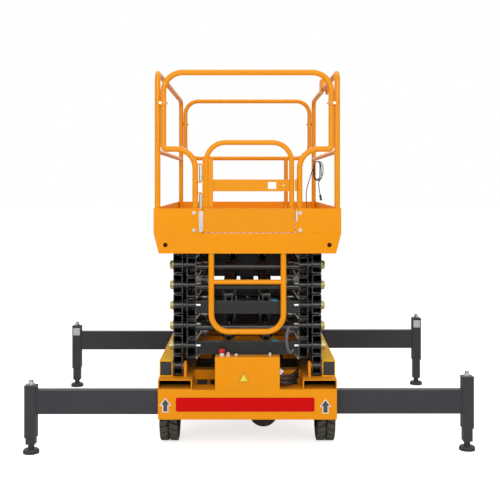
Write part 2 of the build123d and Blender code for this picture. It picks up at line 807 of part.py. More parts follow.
def side_rail(side):
    """A side hoop with its middle rail, and a pad to each end frame."""
    x = side * side_rail_x
    end_y = platform_half_length - rail_inset
    top = rail_top_z - rail_radius
    body = bent_tube([(x, -end_y, deck_z), (x, -end_y, top), (x, end_y, top), (x, end_y, deck_z)], side_bend,
                     rail_radius)
    body += rod((x, -end_y, mid_rail_z), (x, end_y, mid_rail_z), side_middle_radius)
    link_x = (x, side * (end_rail_x + rail_radius + touch))
    for y in (-end_y, end_y):
        body += block(link_x, around(y, link_width), around(deck_z + link_rise, link_height))
    return body


def near_rail():
    """Gate posts that step out to the upper hoop, with the gate's hinge pins."""
    y = rail_inset - platform_half_length
    top = rail_top_z - rail_radius
    step_z = mid_rail_z + shoulder_rise
    left = [(-gate_post_x, y, deck_z), (-gate_post_x, y, step_z), (-end_rail_x, y, step_z), (-end_rail_x, y, top)]
    right = [(-point[0], point[1], point[2]) for point in reversed(left)]
    bends = [shoulder_bend, tight_bend, rail_bend, rail_bend, tight_bend, shoulder_bend]
    body = bent_tube(left + right, bends, rail_radius)
    block_y = around(y, hinge_block_depth)
    for rise in (lower_hinge_rise, upper_hinge_rise):
        low = deck_z + rise - hinge_block_gap
        high = deck_z + rise + hinge_barrel_height + hinge_block_gap
        body += rod((hinge_x, y, low - hinge_block_height), (hinge_x, y, high + hinge_block_height), hinge_pin_radius)
        for z_ends in ((low - hinge_block_height, low), (high, high + hinge_block_height)):
            body += block((-gate_post_x, hinge_x + hinge_pin_radius), block_y, z_ends)
    return body


def far_rail():
    """A closed upper frame on two posts."""
    y = platform_half_length - rail_inset
    top = rail_top_z - rail_radius
    low = deck_z + far_low_rise
    half = end_rail_x
    path = FilletPolyline((-half, y, low), (-half, y, top), (half, y, top), (half, y, low), radius=far_rail_bend,
                          close=True)
    body = sweep(Plane(origin=path @ 0, z_dir=path % 0) * Circle(far_rail_radius), path=path)
    for x in (-gate_post_x, gate_post_x):
        body += rod((x, y, deck_z), (x, y, low), far_rail_radius)
    return body


def gate():
    """The inward gate: hoop, hinge stile, middle plate with its hand hole, kick plate and hinge barrels."""
    y = rail_inset - platform_half_length
    low = deck_z + gate_gap
    gate_top_z = deck_z + gate_rise
    top = gate_top_z - gate_tube_radius
    body = bent_tube([(gate_left_x, y, low), (gate_left_x, y, top), (gate_right_x, y, top), (gate_right_x, y, low)],
                     gate_bend, gate_tube_radius)
    stile_x = (gate_left_x - stile_left, gate_left_x + stile_right)
    body += block(stile_x, around(y, stile_depth), (low, gate_top_z - stile_top_drop))
    plate_z = (deck_z + gate_plate_low, deck_z + gate_plate_high)
    body += block((gate_left_x, gate_right_x), around(y, gate_plate_thickness), plate_z)
    hole_z = (plate_z[0] + hand_hole_up, plate_z[0] + hand_hole_up + hand_hole_height)
    body -= block(around(hand_hole_x, hand_hole_width), around(y, stile_depth), hole_z)
    board_y = (-platform_half_length, sheet - platform_half_length)
    board_x = (hinge_x + gate_board_left, gate_right_x + gate_board_right)
    body += block(board_x, board_y, (low, deck_z + toe_height))
    strap_z = (low + board_strap_low, low + board_strap_low + board_strap_height)
    for x in (gate_left_x, gate_right_x):
        body += block(around(x, board_strap_width), (board_y[1], y), strap_z)
    for rise in (lower_hinge_rise, upper_hinge_rise):
        barrel_z = (deck_z + rise, deck_z + rise + hinge_barrel_height)
        bore_z = (barrel_z[0] - touch, barrel_z[1] + touch)
        body += rod((hinge_x, y, barrel_z[0]), (hinge_x, y, barrel_z[1]), hinge_barrel_radius)
        body -= rod((hinge_x, y, bore_z[0]), (hinge_x, y, bore_z[1]), hinge_pin_radius + running_gap)
    return body


def ladder():
    """A U of tube below the gate, with one rung between its legs."""
    y = rail_inset - platform_half_length
    half = ladder_half_width
    top = deck_z - sheet
    bottom = deck_z - ladder_drop
    body = bent_tube([(-half, y, top), (-half, y, bottom), (half, y, bottom), (half, y, top)], ladder_bend,
                     rail_radius)
    return body + across((-half, half), y, deck_z - ladder_rung_drop, rung_radius)


def rail_box():
    """The small box clamped over the right top rail."""
    x_ends = (side_rail_x - rail_box_inner, side_rail_x + rail_box_outer)
    y_ends = around(0, rail_box_length)
    cut_y = around(0, rail_box_length + touch)
    rail_z = rail_top_z - rail_radius
    low = rail_top_z - rail_box_below
    body = block(x_ends, y_ends, (low, rail_top_z + rail_box_above))
    body -= rod((side_rail_x, cut_y[0], rail_z), (side_rail_x, cut_y[1], rail_z), rail_radius)
    return body - block(around(side_rail_x, 2 * rail_radius), cut_y, (low - touch, rail_z))


# ---- pendant cord: its points are chosen by hand
cord_radius = 3.5
cord_hank_x = 582.0
cord_hank_y = 745.0
cord_hank_width = 88.0
cord_hank_height = 176.0
cord_hank_depth = 26.0
plug_length = 48.0
plug_radius = 9.0
cord_lead_points = [(500, 745, 1386), (498, 745, 1432), (489, 744, 1496), (481, 743, 1566), (484, 743, 1636),
                    (501, 744, 1704), (520, 745, 1762), (533, 745, 1806), (538, 745, 1840)]
cord_tail_points = [(584, 745, 1709), (586, 746, 1674), (591, 746, 1638), (597, 745, 1604)]


def bend_radii(points):
    """The largest bend at each corner that its two runs allow."""
    radii = []
    for before, here, after in zip(points, points[1:], points[2:]):
        run_in = Vector(*here) - Vector(*before)
        run_out = Vector(*after) - Vector(*here)
        turn = radians(run_in.get_angle(run_out))
        radii.append(0.45 * min(run_in.length, run_out.length) / max(sin(turn / 2) / cos(turn / 2), 1e-6))
    return radii


def cord(points):
    return bent_tube(points, bend_radii(points), cord_radius)


def cord_hank():
    """The outer shape of the looped cord, flat and longer than it is wide, hung under the right middle rail."""
    top = mid_rail_z - side_middle_radius - touch
    plate = extrude(SlotOverall(cord_hank_height, cord_hank_width, rotation=90), cord_hank_depth / 2, both=True)
    return Pos(cord_hank_x, cord_hank_y, top - cord_hank_height / 2) * Rot(90, 0, 0) * plate


def cord_plug():
    """The plug in line with the tail's last run."""
    end = Vector(*cord_tail_points[-1])
    run = (end - Vector(*cord_tail_points[-2])).normalized()
    return rod(end, end + run * plug_length, plug_radius)


# ---- everything, in groups
outriggers = (
    ("near", "left", -1, -beam_pair_y, near_beam_z, near_left_leg_x, near_leg_bottom, near_leg_length),
    ("near", "right", 1, -beam_pair_y, near_beam_z - near_right_beam_drop, near_right_leg_x,
     near_leg_bottom + near_right_leg_rise, near_leg_length),
    ("far", "left", -1, beam_pair_y, far_beam_z, far_leg_x, far_leg_bottom, far_leg_length),
    ("far", "right", 1, beam_pair_y, far_beam_z, far_leg_x, far_leg_bottom + far_right_leg_rise, far_leg_length),
)
for end, word, side, pair_y, beam_z, leg_x, leg_bottom, leg_length in outriggers:
    beam_y = pair_y + side * beam_pitch / 2
    leg_ends = (leg_bottom, leg_bottom + leg_length)
    save(f"{end}_{word}_beam", outrigger_beam(side, beam_y, beam_z, leg_x, leg_ends))
    save(f"{end}_{word}_leg", jack_leg(side, beam_y, leg_x, leg_ends))

for side, word in ((-1, "left"), (1, "right")):
    save(f"{word}_side_rail", side_rail(side))
    save(f"far_{word}_knuckle", knuckle(side))
    for end, axle_y in (("near", near_axle_y), ("far", far_axle_y)):
        save(f"{end}_{word}_tyre", tyre(side, axle_y))
        save(f"{end}_{word}_rim", rim(side, axle_y))

save("fork_pockets", *[fork_pocket(side) + pivot_lug(side) for side in (-1, 1)])
save("side_beams", *[side_beam(side) + roller_track(side) for side in (-1, 1)])
save("cross_members", *cross_members())
save("near_sleeve", outrigger_sleeve(-beam_pair_y, near_beam_z, near_right_beam_drop))
save("far_sleeve", outrigger_sleeve(beam_pair_y, far_beam_z, 0))
save("front_panel", front_panel())
save("control_box", control_box())
save("power_pack", power_pack())
save("near_axle", near_axle())
save("far_axle", far_axle())
save("tie_rod", tie_rod())
save("tow_yoke", tow_yoke())
save("drawbar", drawbar())

for stage in range(1, stages + 1):
    save(f"outer_arms_{stage}", outer_arm(-1, stage), outer_arm(1, stage))
    save(f"inner_frame_{stage}", inner_frame(stage))

for name, foot_stage in (("lower", 1), ("upper", 3)):
    barrels, rods = lift_cylinder(foot_stage)
    save(f"{name}_cylinder_barrels", *barrels)
    save(f"{name}_cylinder_rods", *rods)

save("platform_tray", tray())
save("toe_boards", toe_boards())
save("near_rail", near_rail())
save("far_rail", far_rail())
save("gate", gate())
save("ladder", ladder())
save("rail_box", rail_box())
save("cord_lead", cord(cord_lead_points))
save("cord_tail", cord(cord_tail_points))
save("cord_hank", cord_hank())
save("cord_plug", cord_plug())
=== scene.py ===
import json
import math

import bpy
import bmesh
from mathutils import Matrix, Vector


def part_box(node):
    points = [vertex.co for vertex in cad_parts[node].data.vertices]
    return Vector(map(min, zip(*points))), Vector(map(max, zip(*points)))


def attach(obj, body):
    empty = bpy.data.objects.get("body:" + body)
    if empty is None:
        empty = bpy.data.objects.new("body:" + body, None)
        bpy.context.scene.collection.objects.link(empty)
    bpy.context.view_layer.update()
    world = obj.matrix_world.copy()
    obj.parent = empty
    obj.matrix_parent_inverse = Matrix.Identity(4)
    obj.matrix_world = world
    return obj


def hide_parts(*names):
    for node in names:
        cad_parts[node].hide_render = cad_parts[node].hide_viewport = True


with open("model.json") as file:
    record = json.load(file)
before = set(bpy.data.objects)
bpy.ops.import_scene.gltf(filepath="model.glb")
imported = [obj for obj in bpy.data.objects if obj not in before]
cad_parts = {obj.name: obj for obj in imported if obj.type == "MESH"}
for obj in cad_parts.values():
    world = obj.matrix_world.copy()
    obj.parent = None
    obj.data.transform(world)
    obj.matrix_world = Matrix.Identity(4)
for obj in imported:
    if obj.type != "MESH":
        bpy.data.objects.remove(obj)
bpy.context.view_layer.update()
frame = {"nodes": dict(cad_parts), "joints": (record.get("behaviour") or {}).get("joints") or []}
joint_at = {joint["name"]: Vector(joint["pos_m"]) for joint in frame["joints"] if joint.get("pos_m")}
Z_AXIS = Vector((0.0, 0.0, 1.0))


def box_of(node):
    """The low and the high corner of a CAD node at rest."""
    low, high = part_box(node)
    return Vector(low), Vector(high)



# ---------------------------------------------------------------- colours, as linear light
ENAMEL_ORANGE = (0.83, 0.290, 0.0006)
RAIL_ORANGE = (0.80, 0.285, 0.001)
SIDE_BEAM_YELLOW = (0.92, 0.50, 0.006)
OUTRIGGER_GREY = (0.044, 0.044, 0.050)
ARM_BLACK = (0.011, 0.011, 0.0105)
SIGN_RED = (0.60, 0.001, 0.002)
TYRE_GREY = (0.066, 0.068, 0.046)
STEEL = (0.62, 0.61, 0.59)
ZINC_GOLD = (0.46, 0.42, 0.17)
HOSE_BLACK = (0.012, 0.012, 0.013)
PALE_LABEL = (0.50, 0.50, 0.51)

# ---------------------------------------------------------------- shader groups


def new_group(name, inputs, outputs):
    """An empty shader group; inputs and outputs are lists of (name, kind, default)."""
    group = bpy.data.node_groups.new(name, "ShaderNodeTree")
    kinds = {"number": "NodeSocketFloat", "colour": "NodeSocketColor", "vector": "NodeSocketVector"}
    for socket_name, kind, default in inputs:
        socket = group.interface.new_socket(name=socket_name, in_out="INPUT", socket_type=kinds[kind])
        if default is not None:
            socket.default_value = default
    for socket_name, kind in outputs:
        group.interface.new_socket(name=socket_name, in_out="OUTPUT", socket_type=kinds[kind])
    start = group.nodes.new("NodeGroupInput")
    end = group.nodes.new("NodeGroupOutput")
    return group, start, end


def add_node(tree, kind, **settings):
    node = tree.nodes.new(kind)
    for key, value in settings.items():
        setattr(node, key, value)
    return node


def math_node(tree, operation, first, second=None, clamp=False):
    """A Math node; each operand is a socket or a number."""
    node = add_node(tree, "ShaderNodeMath", operation=operation, use_clamp=clamp)
    for slot_number, operand in enumerate((first, second)):
        if operand is None:
            continue
        if isinstance(operand, (int, float)):
            node.inputs[slot_number].default_value = operand
        else:
            tree.links.new(operand, node.inputs[slot_number])
    return node.outputs[0]


def noise_node(tree, scale, detail=4.0, roughness=0.55):
    """Noise in the object's own space; scale is a socket or a number."""
    place = add_node(tree, "ShaderNodeTexCoord").outputs["Object"]
    noise = add_node(tree, "ShaderNodeTexNoise")
    noise.inputs["Detail"].default_value = detail
    noise.inputs["Roughness"].default_value = roughness
    tree.links.new(place, noise.inputs["Vector"])
    if isinstance(scale, (int, float)):
        noise.inputs["Scale"].default_value = scale
    else:
        tree.links.new(scale, noise.inputs["Scale"])
    return noise.outputs["Fac"]


def ramp_node(tree, value, low, high):
    """Values from low to high spread over 0 to 1."""
    node = add_node(tree, "ShaderNodeMapRange", clamp=True)
    tree.links.new(value, node.inputs["Value"])
    for name, edge in (("From Min", low), ("From Max", high)):
        if isinstance(edge, (int, float)):
            node.inputs[name].default_value = edge
        else:
            tree.links.new(edge, node.inputs[name])
    return node.outputs["Result"]


def mix_colour(tree, mask, first, second):
    node = add_node(tree, "ShaderNodeMix", data_type="RGBA")
    for name, value in (("Factor", mask), ("A", first), ("B", second)):
        sockets = [s for s in node.inputs if s.name == name and (name == "Factor" or s.type == "RGBA")]
        socket = sockets[0]
        if isinstance(value, (int, float)):
            socket.default_value = value
        elif isinstance(value, tuple):
            socket.default_value = (*value, 1.0)
        else:
            tree.links.new(value, socket)
    return [s for s in node.outputs if s.type == "RGBA"][0]


def make_edge_wear_and_highlight():
    """Where sharp edges are, broken up by noise, with the normal rounded over them; the mask places edge
    wear, and on the black arms it also places painted highlights.
    """
    group, start, end = new_group("edge_wear_and_highlight", [("Radius", "number", 0.004), ("Breakup", "number", 60.0)],
                                  [("Mask", "number"), ("Normal", "vector")])
    bevel = add_node(group, "ShaderNodeBevel", samples=4)
    group.links.new(start.outputs["Radius"], bevel.inputs["Radius"])
    flat = add_node(group, "ShaderNodeNewGeometry").outputs["Normal"]
    dot = add_node(group, "ShaderNodeVectorMath", operation="DOT_PRODUCT")
    group.links.new(bevel.outputs["Normal"], dot.inputs[0])
    group.links.new(flat, dot.inputs[1])
    edge = ramp_node(group, math_node(group, "SUBTRACT", 1.0, dot.outputs["Value"]), 0.02, 0.22)
    broken = noise_node(group, start.outputs["Breakup"], detail=6.0, roughness=0.7)
    rough = ramp_node(group, broken, 0.42, 0.62)
    group.links.new(math_node(group, "MULTIPLY", edge, rough), end.inputs["Mask"])
    group.links.new(bevel.outputs["Normal"], end.inputs["Normal"])
    return group


def make_dust():
    """Grey dust that settles on faces that look up and gathers in soft patches."""
    group, start, end = new_group("settled_dust", [("Patch Size", "number", 5.0), ("Amount", "number", 0.3)],
                                  [("Mask", "number")])
    split = add_node(group, "ShaderNodeSeparateXYZ")
    group.links.new(add_node(group, "ShaderNodeNewGeometry").outputs["Normal"], split.inputs[0])
    upward = ramp_node(group, split.outputs["Z"], 0.2, 0.95)
    cloud = noise_node(group, start.outputs["Patch Size"], detail=5.0, roughness=0.65)
    patch = ramp_node(group, cloud, 0.35, 0.7)
    base = math_node(group, "ADD", math_node(group, "MULTIPLY", upward, 0.8), 0.2)
    settled = math_node(group, "MULTIPLY", base, patch)
    mask = math_node(group, "MULTIPLY", settled, start.outputs["Amount"], clamp=True)
    group.links.new(mask, end.inputs["Mask"])
    return group


def make_tone_drift():
    """Slow, slight changes of tone over a painted or moulded surface."""
    group, start, end = new_group("tone_drift",
                                  [("Colour", "colour", None), ("Size", "number", 2.0),
                                   ("Amount", "number", 0.1)],
                                  [("Colour", "colour"), ("Value", "number")])
    wide = noise_node(group, start.outputs["Size"], detail=3.0, roughness=0.5)
    centred = math_node(group, "SUBTRACT", wide, 0.5)
    gain = math_node(group, "ADD", math_node(group, "MULTIPLY", centred, start.outputs["Amount"]), 1.0)
    scale = add_node(group, "ShaderNodeVectorMath", operation="SCALE")
    group.links.new(start.outputs["Colour"], scale.inputs[0])
    group.links.new(gain, scale.inputs["Scale"])
    group.links.new(scale.outputs["Vector"], end.inputs["Colour"])
    group.links.new(wide, end.inputs["Value"])
    return group


def make_fine_grain():
    """Height of a fine skin, such as the orange peel of sprayed paint or the pores of cast rubber."""
    group, start, end = new_group("fine_grain", [("Size", "number", 300.0), ("Second Size", "number", 60.0)],
                                  [("Height", "number")])
    fine = noise_node(group, start.outputs["Size"], detail=2.0)
    wide = noise_node(group, start.outputs["Second Size"], detail=2.0)
    height = math_node(group, "ADD", fine, math_node(group, "MULTIPLY", wide, 0.6))
    group.links.new(height, end.inputs["Height"])
    return group


EDGE_WEAR_AND_HIGHLIGHT = make_edge_wear_and_highlight()
DUST = make_dust()
TONE_DRIFT = make_tone_drift()
FINE_GRAIN = make_fine_grain()


def place_group(tree, group, **values):
    node = add_node(tree, "ShaderNodeGroup", node_tree=group)
    for key, value in values.items():
        socket = node.inputs[key.replace("_", " ")]
        if isinstance(value, tuple):
            socket.default_value = (*value, 1.0)
        elif isinstance(value, (int, float)):
            socket.default_value = value
        else:
            tree.links.new(value, socket)
    return node


def new_finish(name, metallic=0.0, coat=0.0, coat_roughness=0.1):
    material = bpy.data.materials.new(name)
    material.use_nodes = True
    tree = material.node_tree
    shader = tree.nodes["Principled BSDF"]
    shader.inputs["Metallic"].default_value = metallic
    shader.inputs["Coat Weight"].default_value = coat
    shader.inputs["Coat Roughness"].default_value = coat_roughness
    return material, tree, shader


def bump_from(tree, shader, height, depth, normal=None, strength=1.0):
    bump = add_node(tree, "ShaderNodeBump")
    bump.inputs["Strength"].default_value = strength
    bump.inputs["Distance"].default_value = depth
    tree.links.new(height, bump.inputs["Height"])
    if normal is not None:
        tree.links.new(normal, bump.inputs["Normal"])
    tree.links.new(bump.outputs["Normal"], shader.inputs["Normal"])


def enamel(name, colour, roughness=0.40, drift=0.10, dust=0.08, edge_wear_and_highlight_colour=(0.09, 0.08, 0.07), edge_wear_and_highlight_amount=0.5,
           coat=0.04, shine=0.22, edge_radius=0.0025):
    """Sprayed enamel: tone drift, dust, worn edges, varied gloss and a slight orange peel; on the black arms
    the worn edges are lightened into painted highlights.
    """
    material, tree, shader = new_finish(name, coat=coat, coat_roughness=0.18)
    shader.inputs["Specular IOR Level"].default_value = shine
    tone = place_group(tree, TONE_DRIFT, Colour=colour, Size=1.6, Amount=drift)
    dusty = place_group(tree, DUST, Patch_Size=7.0, Amount=dust)
    edges = place_group(tree, EDGE_WEAR_AND_HIGHLIGHT, Radius=edge_radius, Breakup=45.0)
    grain = place_group(tree, FINE_GRAIN, Size=420.0, Second_Size=90.0)
    painted = mix_colour(tree, dusty.outputs["Mask"], tone.outputs["Colour"], (0.42, 0.38, 0.32))
    # Edges take the edge colour: worn paint, and on the black arms painted highlights as well.
    edge_wear_and_highlight_paint = mix_colour(tree, math_node(tree, "MULTIPLY", edges.outputs["Mask"], edge_wear_and_highlight_amount), painted, edge_wear_and_highlight_colour)
    tree.links.new(edge_wear_and_highlight_paint, shader.inputs["Base Color"])
    gloss = math_node(tree, "ADD", math_node(tree, "MULTIPLY", tone.outputs["Value"], 0.14), roughness - 0.07)
    matt_dust = math_node(tree, "MULTIPLY", dusty.outputs["Mask"], 0.5)
    duller = math_node(tree, "ADD", gloss, matt_dust, clamp=True)
    tree.links.new(duller, shader.inputs["Roughness"])
    bump_from(tree, shader, grain.outputs["Height"], 0.00012, normal=edges.outputs["Normal"], strength=0.35)
    return material


def bare_metal(name, colour, roughness=0.3, drift=0.2):
    """Bare or plated metal with a fine mottle and a darker film in patches."""
    material, tree, shader = new_finish(name, metallic=1.0)
    tone = place_group(tree, TONE_DRIFT, Colour=colour, Size=14.0, Amount=drift)
    mottle = noise_node(tree, 240.0, detail=3.0)
    film = ramp_node(tree, noise_node(tree, 30.0, detail=5.0), 0.35, 0.8)
    shade = mix_colour(tree, math_node(tree, "MULTIPLY", film, 0.35), tone.outputs["Colour"],
                       tuple(channel * 0.45 for channel in colour))
    tree.links.new(shade, shader.inputs["Base Color"])
    gloss = math_node(tree, "ADD", math_node(tree, "MULTIPLY", mottle, 0.22), roughness - 0.08)
    tree.links.new(gloss, shader.inputs["Roughness"])
    bump_from(tree, shader, mottle, 0.0001, strength=0.2)
    return material


def moulded(name, colour, roughness=0.6, dust=0.2, grain_size=500.0, grain_depth=0.0002):
    """Rubber or plastic with a cast skin and a little dust."""
    material, tree, shader = new_finish(name)
    tone = place_group(tree, TONE_DRIFT, Colour=colour, Size=9.0, Amount=0.3)
    dusty = place_group(tree, DUST, Patch_Size=18.0, Amount=dust)
    grain = place_group(tree, FINE_GRAIN, Size=grain_size, Second_Size=grain_size / 4)
    shade = mix_colour(tree, dusty.outputs["Mask"], tone.outputs["Colour"], (0.20, 0.19, 0.15))
    tree.links.new(shade, shader.inputs["Base Color"])
    varied = math_node(tree, "MULTIPLY", tone.outputs["Value"], 0.2)
    gloss = math_node(tree, "ADD", varied, roughness - 0.1, clamp=True)
    tree.links.new(gloss, shader.inputs["Roughness"])
    bump_from(tree, shader, grain.outputs["Height"], grain_depth, strength=0.4)
    return material


ORANGE = enamel("orange_enamel", ENAMEL_ORANGE, coat=0.02, shine=0.12)
RAIL = enamel("rail_enamel", RAIL_ORANGE, roughness=0.32, drift=0.16, dust=0.03, coat=0.04, shine=0.18)
YELLOW = enamel("side_beam_enamel", SIDE_BEAM_YELLOW, roughness=0.55, dust=0.03, coat=0.0, shine=0.05)
GREY = enamel("outrigger_enamel", OUTRIGGER_GREY, roughness=0.50, drift=0.22, dust=0.05,
              edge_wear_and_highlight_colour=(0.22, 0.21, 0.20), edge_wear_and_highlight_amount=0.45, coat=0.02, shine=0.14)
# Black arms: the pale grey edge colour at full strength is edge wear plus painted highlight on the cut ends
# and edges of the arm tubes.
BLACK = enamel("arm_enamel", ARM_BLACK, roughness=0.20, drift=0.4, dust=0.05,
               edge_wear_and_highlight_colour=(0.40, 0.40, 0.39), edge_wear_and_highlight_amount=1.0, coat=0.12, shine=0.36, edge_radius=0.0045)
UNDER = enamel("running_gear_enamel", (0.022, 0.021, 0.020), roughness=0.55, drift=0.5, dust=0.3,
               edge_wear_and_highlight_colour=(0.16, 0.13, 0.10), edge_wear_and_highlight_amount=0.6, coat=0.0)
RED = enamel("sign_red", SIGN_RED, roughness=0.34, drift=0.06, dust=0.01, edge_wear_and_highlight_amount=0.1, coat=0.0, shine=0.08)
DECK = enamel("deck_enamel", (0.62, 0.215, 0.006), roughness=0.45, drift=0.25, dust=0.35,
              edge_wear_and_highlight_colour=(0.33, 0.30, 0.26), edge_wear_and_highlight_amount=0.9, coat=0.05)
PIN_STEEL = bare_metal("pin_steel", STEEL, roughness=0.26)
ZINC = bare_metal("yellow_zinc_plate", ZINC_GOLD, roughness=0.30)
CHROME = bare_metal("rod_chrome", (0.78, 0.78, 0.80), roughness=0.12, drift=0.05)
TYRE = moulded("tyre_rubber", TYRE_GREY, roughness=0.72, dust=0.25, grain_size=260.0, grain_depth=0.0006)
# Near-black rubber for the tyre carcass under and between the tread blocks: painted shade in the grooves, far
# darker than the blocks' rubber.
GROOVE_SHADE = moulded("tyre_groove_shade", (0.010, 0.010, 0.009), roughness=0.85, dust=0.05)
HOSE = moulded("hose_rubber", HOSE_BLACK, roughness=0.45, dust=0.1)
CORD = moulded("cord_sheath", (0.011, 0.011, 0.012), roughness=0.5, dust=0.05)
LABEL = moulded("blank_label", PALE_LABEL, roughness=0.4, dust=0.1, grain_depth=0.00005)
WHITE = moulded("white_vinyl", (0.72, 0.72, 0.70), roughness=0.4, dust=0.05, grain_depth=0.00005)
ARROW = moulded("arrow_vinyl", (0.055, 0.052, 0.048), roughness=0.45, dust=0.05, grain_depth=0.00005)
BUTTON_RED = moulded("button_red", (0.62, 0.010, 0.016), roughness=0.35, dust=0.03)
BUTTON_PINK = moulded("button_pink", (0.75, 0.42, 0.42), roughness=0.35, dust=0.03)
TRIANGLE = moulded("plate_yellow", (0.83, 0.66, 0.02), roughness=0.4, dust=0.03, grain_depth=0.00005)
OLIVE = moulded("plate_edge", (0.25, 0.21, 0.02), roughness=0.5, dust=0.03, grain_depth=0.00005)
TEAL = moulded("valve_teal", (0.01, 0.20, 0.24), roughness=0.4, dust=0.05)
GREY_HOSE = moulded("grey_hose", (0.10, 0.10, 0.105), roughness=0.5, dust=0.1)

# ---------------------------------------------------------------- finishes of the CAD nodes
NODE_FINISH = {
    "side_beams": YELLOW, "near_axle": UNDER, "far_axle": UNDER, "tie_rod": UNDER, "tow_yoke": UNDER,
    "drawbar": BLACK, "power_pack": UNDER, "near_rail": RAIL, "far_rail": RAIL, "left_side_rail": RAIL,
    "right_side_rail": RAIL, "gate": RAIL, "ladder": RAIL, "cord_plug": CORD,
}


def finish_for(node):
    if node in NODE_FINISH:
        return NODE_FINISH[node]
    if node.endswith("_rods"):
        return CHROME
    if node.endswith(("_beam", "_leg")):
        return GREY
    if node.startswith(("outer_arms", "inner_frame")) or node.endswith("_barrels"):
        return BLACK
    if node.endswith(("_knuckle", "_rim")):
        return UNDER
    if node.endswith("_tyre"):
        return TYRE
    return ORANGE


for node_name, node_object in frame["nodes"].items():
    node_object.data.materials.clear()
    node_object.data.materials.append(finish_for(node_name))

# ---------------------------------------------------------------- making meshes


SHARP_FROM = 30


def mesh_piece(mesh, name, material, sharp_from):
    """A linked object from a finished mesh; edges are sharp from an angle in degrees."""
    bmesh.ops.recalc_face_normals(mesh, faces=mesh.faces)
    data = bpy.data.meshes.new(name)
    mesh.to_mesh(data)
    mesh.free()
    piece = bpy.data.objects.new(name, data)
    bpy.context.collection.objects.link(piece)
    data.materials.append(material)
    data.shade_smooth()
    data.set_sharp_from_angle(angle=math.radians(sharp_from))
    return piece


class Pile:
    """Collects small solids of one finish into one mesh."""

    def __init__(self):
        self.mesh = bmesh.new()

    def _place(self, verts, matrix):
        bmesh.ops.transform(self.mesh, matrix=matrix, verts=verts)

    def bar(self, start, end, radius, sides=16, end_radius=None, edge=0.0):
        """A round bar or cone between two points, with an optional chamfer at its far end."""
        start, end = Vector(start), Vector(end)
        run = end - start
        turn = Z_AXIS.rotation_difference(run).to_matrix().to_4x4()
        matrix = Matrix.Translation((start + end) / 2) @ turn
        last = radius if end_radius is None else end_radius
        made = bmesh.ops.create_cone(self.mesh, cap_ends=True, segments=sides, radius1=radius, radius2=last,
                                     depth=run.length)
        verts = made["verts"]
        if edge:
            top = [v for v in verts if v.co.z > 0]
            rim = {e for v in top for e in v.link_edges if all(u.co.z > 0 for u in e.verts)}
            cut = bmesh.ops.bevel(self.mesh, geom=list(rim), offset=edge, segments=2, affect="EDGES")
            verts = list({v for v in verts if v.is_valid} | set(cut["verts"]))
        self._place(verts, matrix)

    def slab(self, corner, other, edge=0.0):
        """A square solid between two opposite corners, with its edges rounded by edge."""
        low = Vector([min(pair) for pair in zip(corner, other)])
        high = Vector([max(pair) for pair in zip(corner, other)])
        made = bmesh.ops.create_cube(self.mesh, size=1.0)
        size = Matrix.Diagonal((*(high - low), 1.0))
        self._place(made["verts"], size)
        verts = made["verts"]
        if edge:
            edges = list({e for v in verts for e in v.link_edges})
            cut = bmesh.ops.bevel(self.mesh, geom=edges, offset=edge, segments=2, affect="EDGES")
            verts = list({v for v in verts if v.is_valid} | set(cut["verts"]))
        self._place(verts, Matrix.Translation((low + high) / 2))

    def plate(self, outline, thickness, matrix):
        """A flat plate from an outline in X and Y, pushed up by its thickness, then placed."""
        low = [self.mesh.verts.new((x, y, 0.0)) for x, y in outline]
        high = [self.mesh.verts.new((x, y, thickness)) for x, y in outline]
        self.mesh.faces.new(list(reversed(low)))
        self.mesh.faces.new(high)
        for here in range(len(low)):
            there = (here + 1) % len(low)
            self.mesh.faces.new((low[here], low[there], high[there], high[here]))
        self._place(low + high, matrix)

    def ball(self, middle, radius):
        made = bmesh.ops.create_uvsphere(self.mesh, u_segments=16, v_segments=10, radius=radius)
        self._place(made["verts"], Matrix.Translation(middle))

    def finish(self, name, material, body, slot_name):
        piece = mesh_piece(self.mesh, name, material, SHARP_FROM)
        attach(piece, body)


def hexagon(pile, start, end, radius):
    pile.bar(start, end, radius, sides=6)


def tube_along(name, points, radius, material, body, sides=8):
    """A smooth tube through control points."""
    curve = bpy.data.curves.new(name, "CURVE")
    curve.dimensions = "3D"
    curve.bevel_depth = radius
    curve.bevel_resolution = sides // 4
    curve.resolution_u = 8
    spline = curve.splines.new("NURBS")
    spline.points.add(len(points) - 1)
    for place, point in zip(spline.points, points):
        place.co = (*point, 1.0)
    spline.order_u = 3
    spline.use_endpoint_u = True
    curve.use_fill_caps = True
    piece = bpy.data.objects.new(name, curve)
    bpy.context.collection.objects.link(piece)
    curve.materials.append(material)
    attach(piece, body)
    return piece


# ---------------------------------------------------------------- pins, nuts and washers of the stack
STAGES = 6
PIN = 0.0204
ARM_OUTER = 0.470
ARM_GAP = (0.385, 0.410)
PIN_INBOARD = (0.2965, 0.3245)
NEAR_Y = joint_at["lift"].y
FAR_Y = 2 * joint_at["inner_1_fold"].y - NEAR_Y
ROW = [joint_at["lift"].z] + [joint_at[f"outer_{i}_fold"].z for i in range(2, STAGES + 1)]
ROW.append(joint_at["platform_level"].z)


# Distances from the middle of the stack, along each pin
WASHER = (ARM_OUTER + 0.0008, ARM_OUTER + 0.004)
NUT = (ARM_OUTER + 0.004, ARM_OUTER + 0.0215)
PIN_TIP = (ARM_OUTER + 0.021, ARM_OUTER + 0.026)
SPACER = (ARM_GAP[0] - 0.001, ARM_GAP[1] + 0.001)
BARE_END = (PIN_INBOARD[1] + 0.002, PIN_INBOARD[0] - 0.0005)
NIPPLE = (PIN_INBOARD[0], PIN_INBOARD[0] - 0.010)
NIPPLE_BALL = PIN_INBOARD[0] - 0.011
KEEPER_WIRE = [(0.3010, -0.0200), (0.2960, -0.0420), (0.3260, -0.0860), (0.3270, -0.0520)]
KEEPER_SCREW = (0.3285, 0.3200)
KEEPER_SCREW_DROP = 0.052


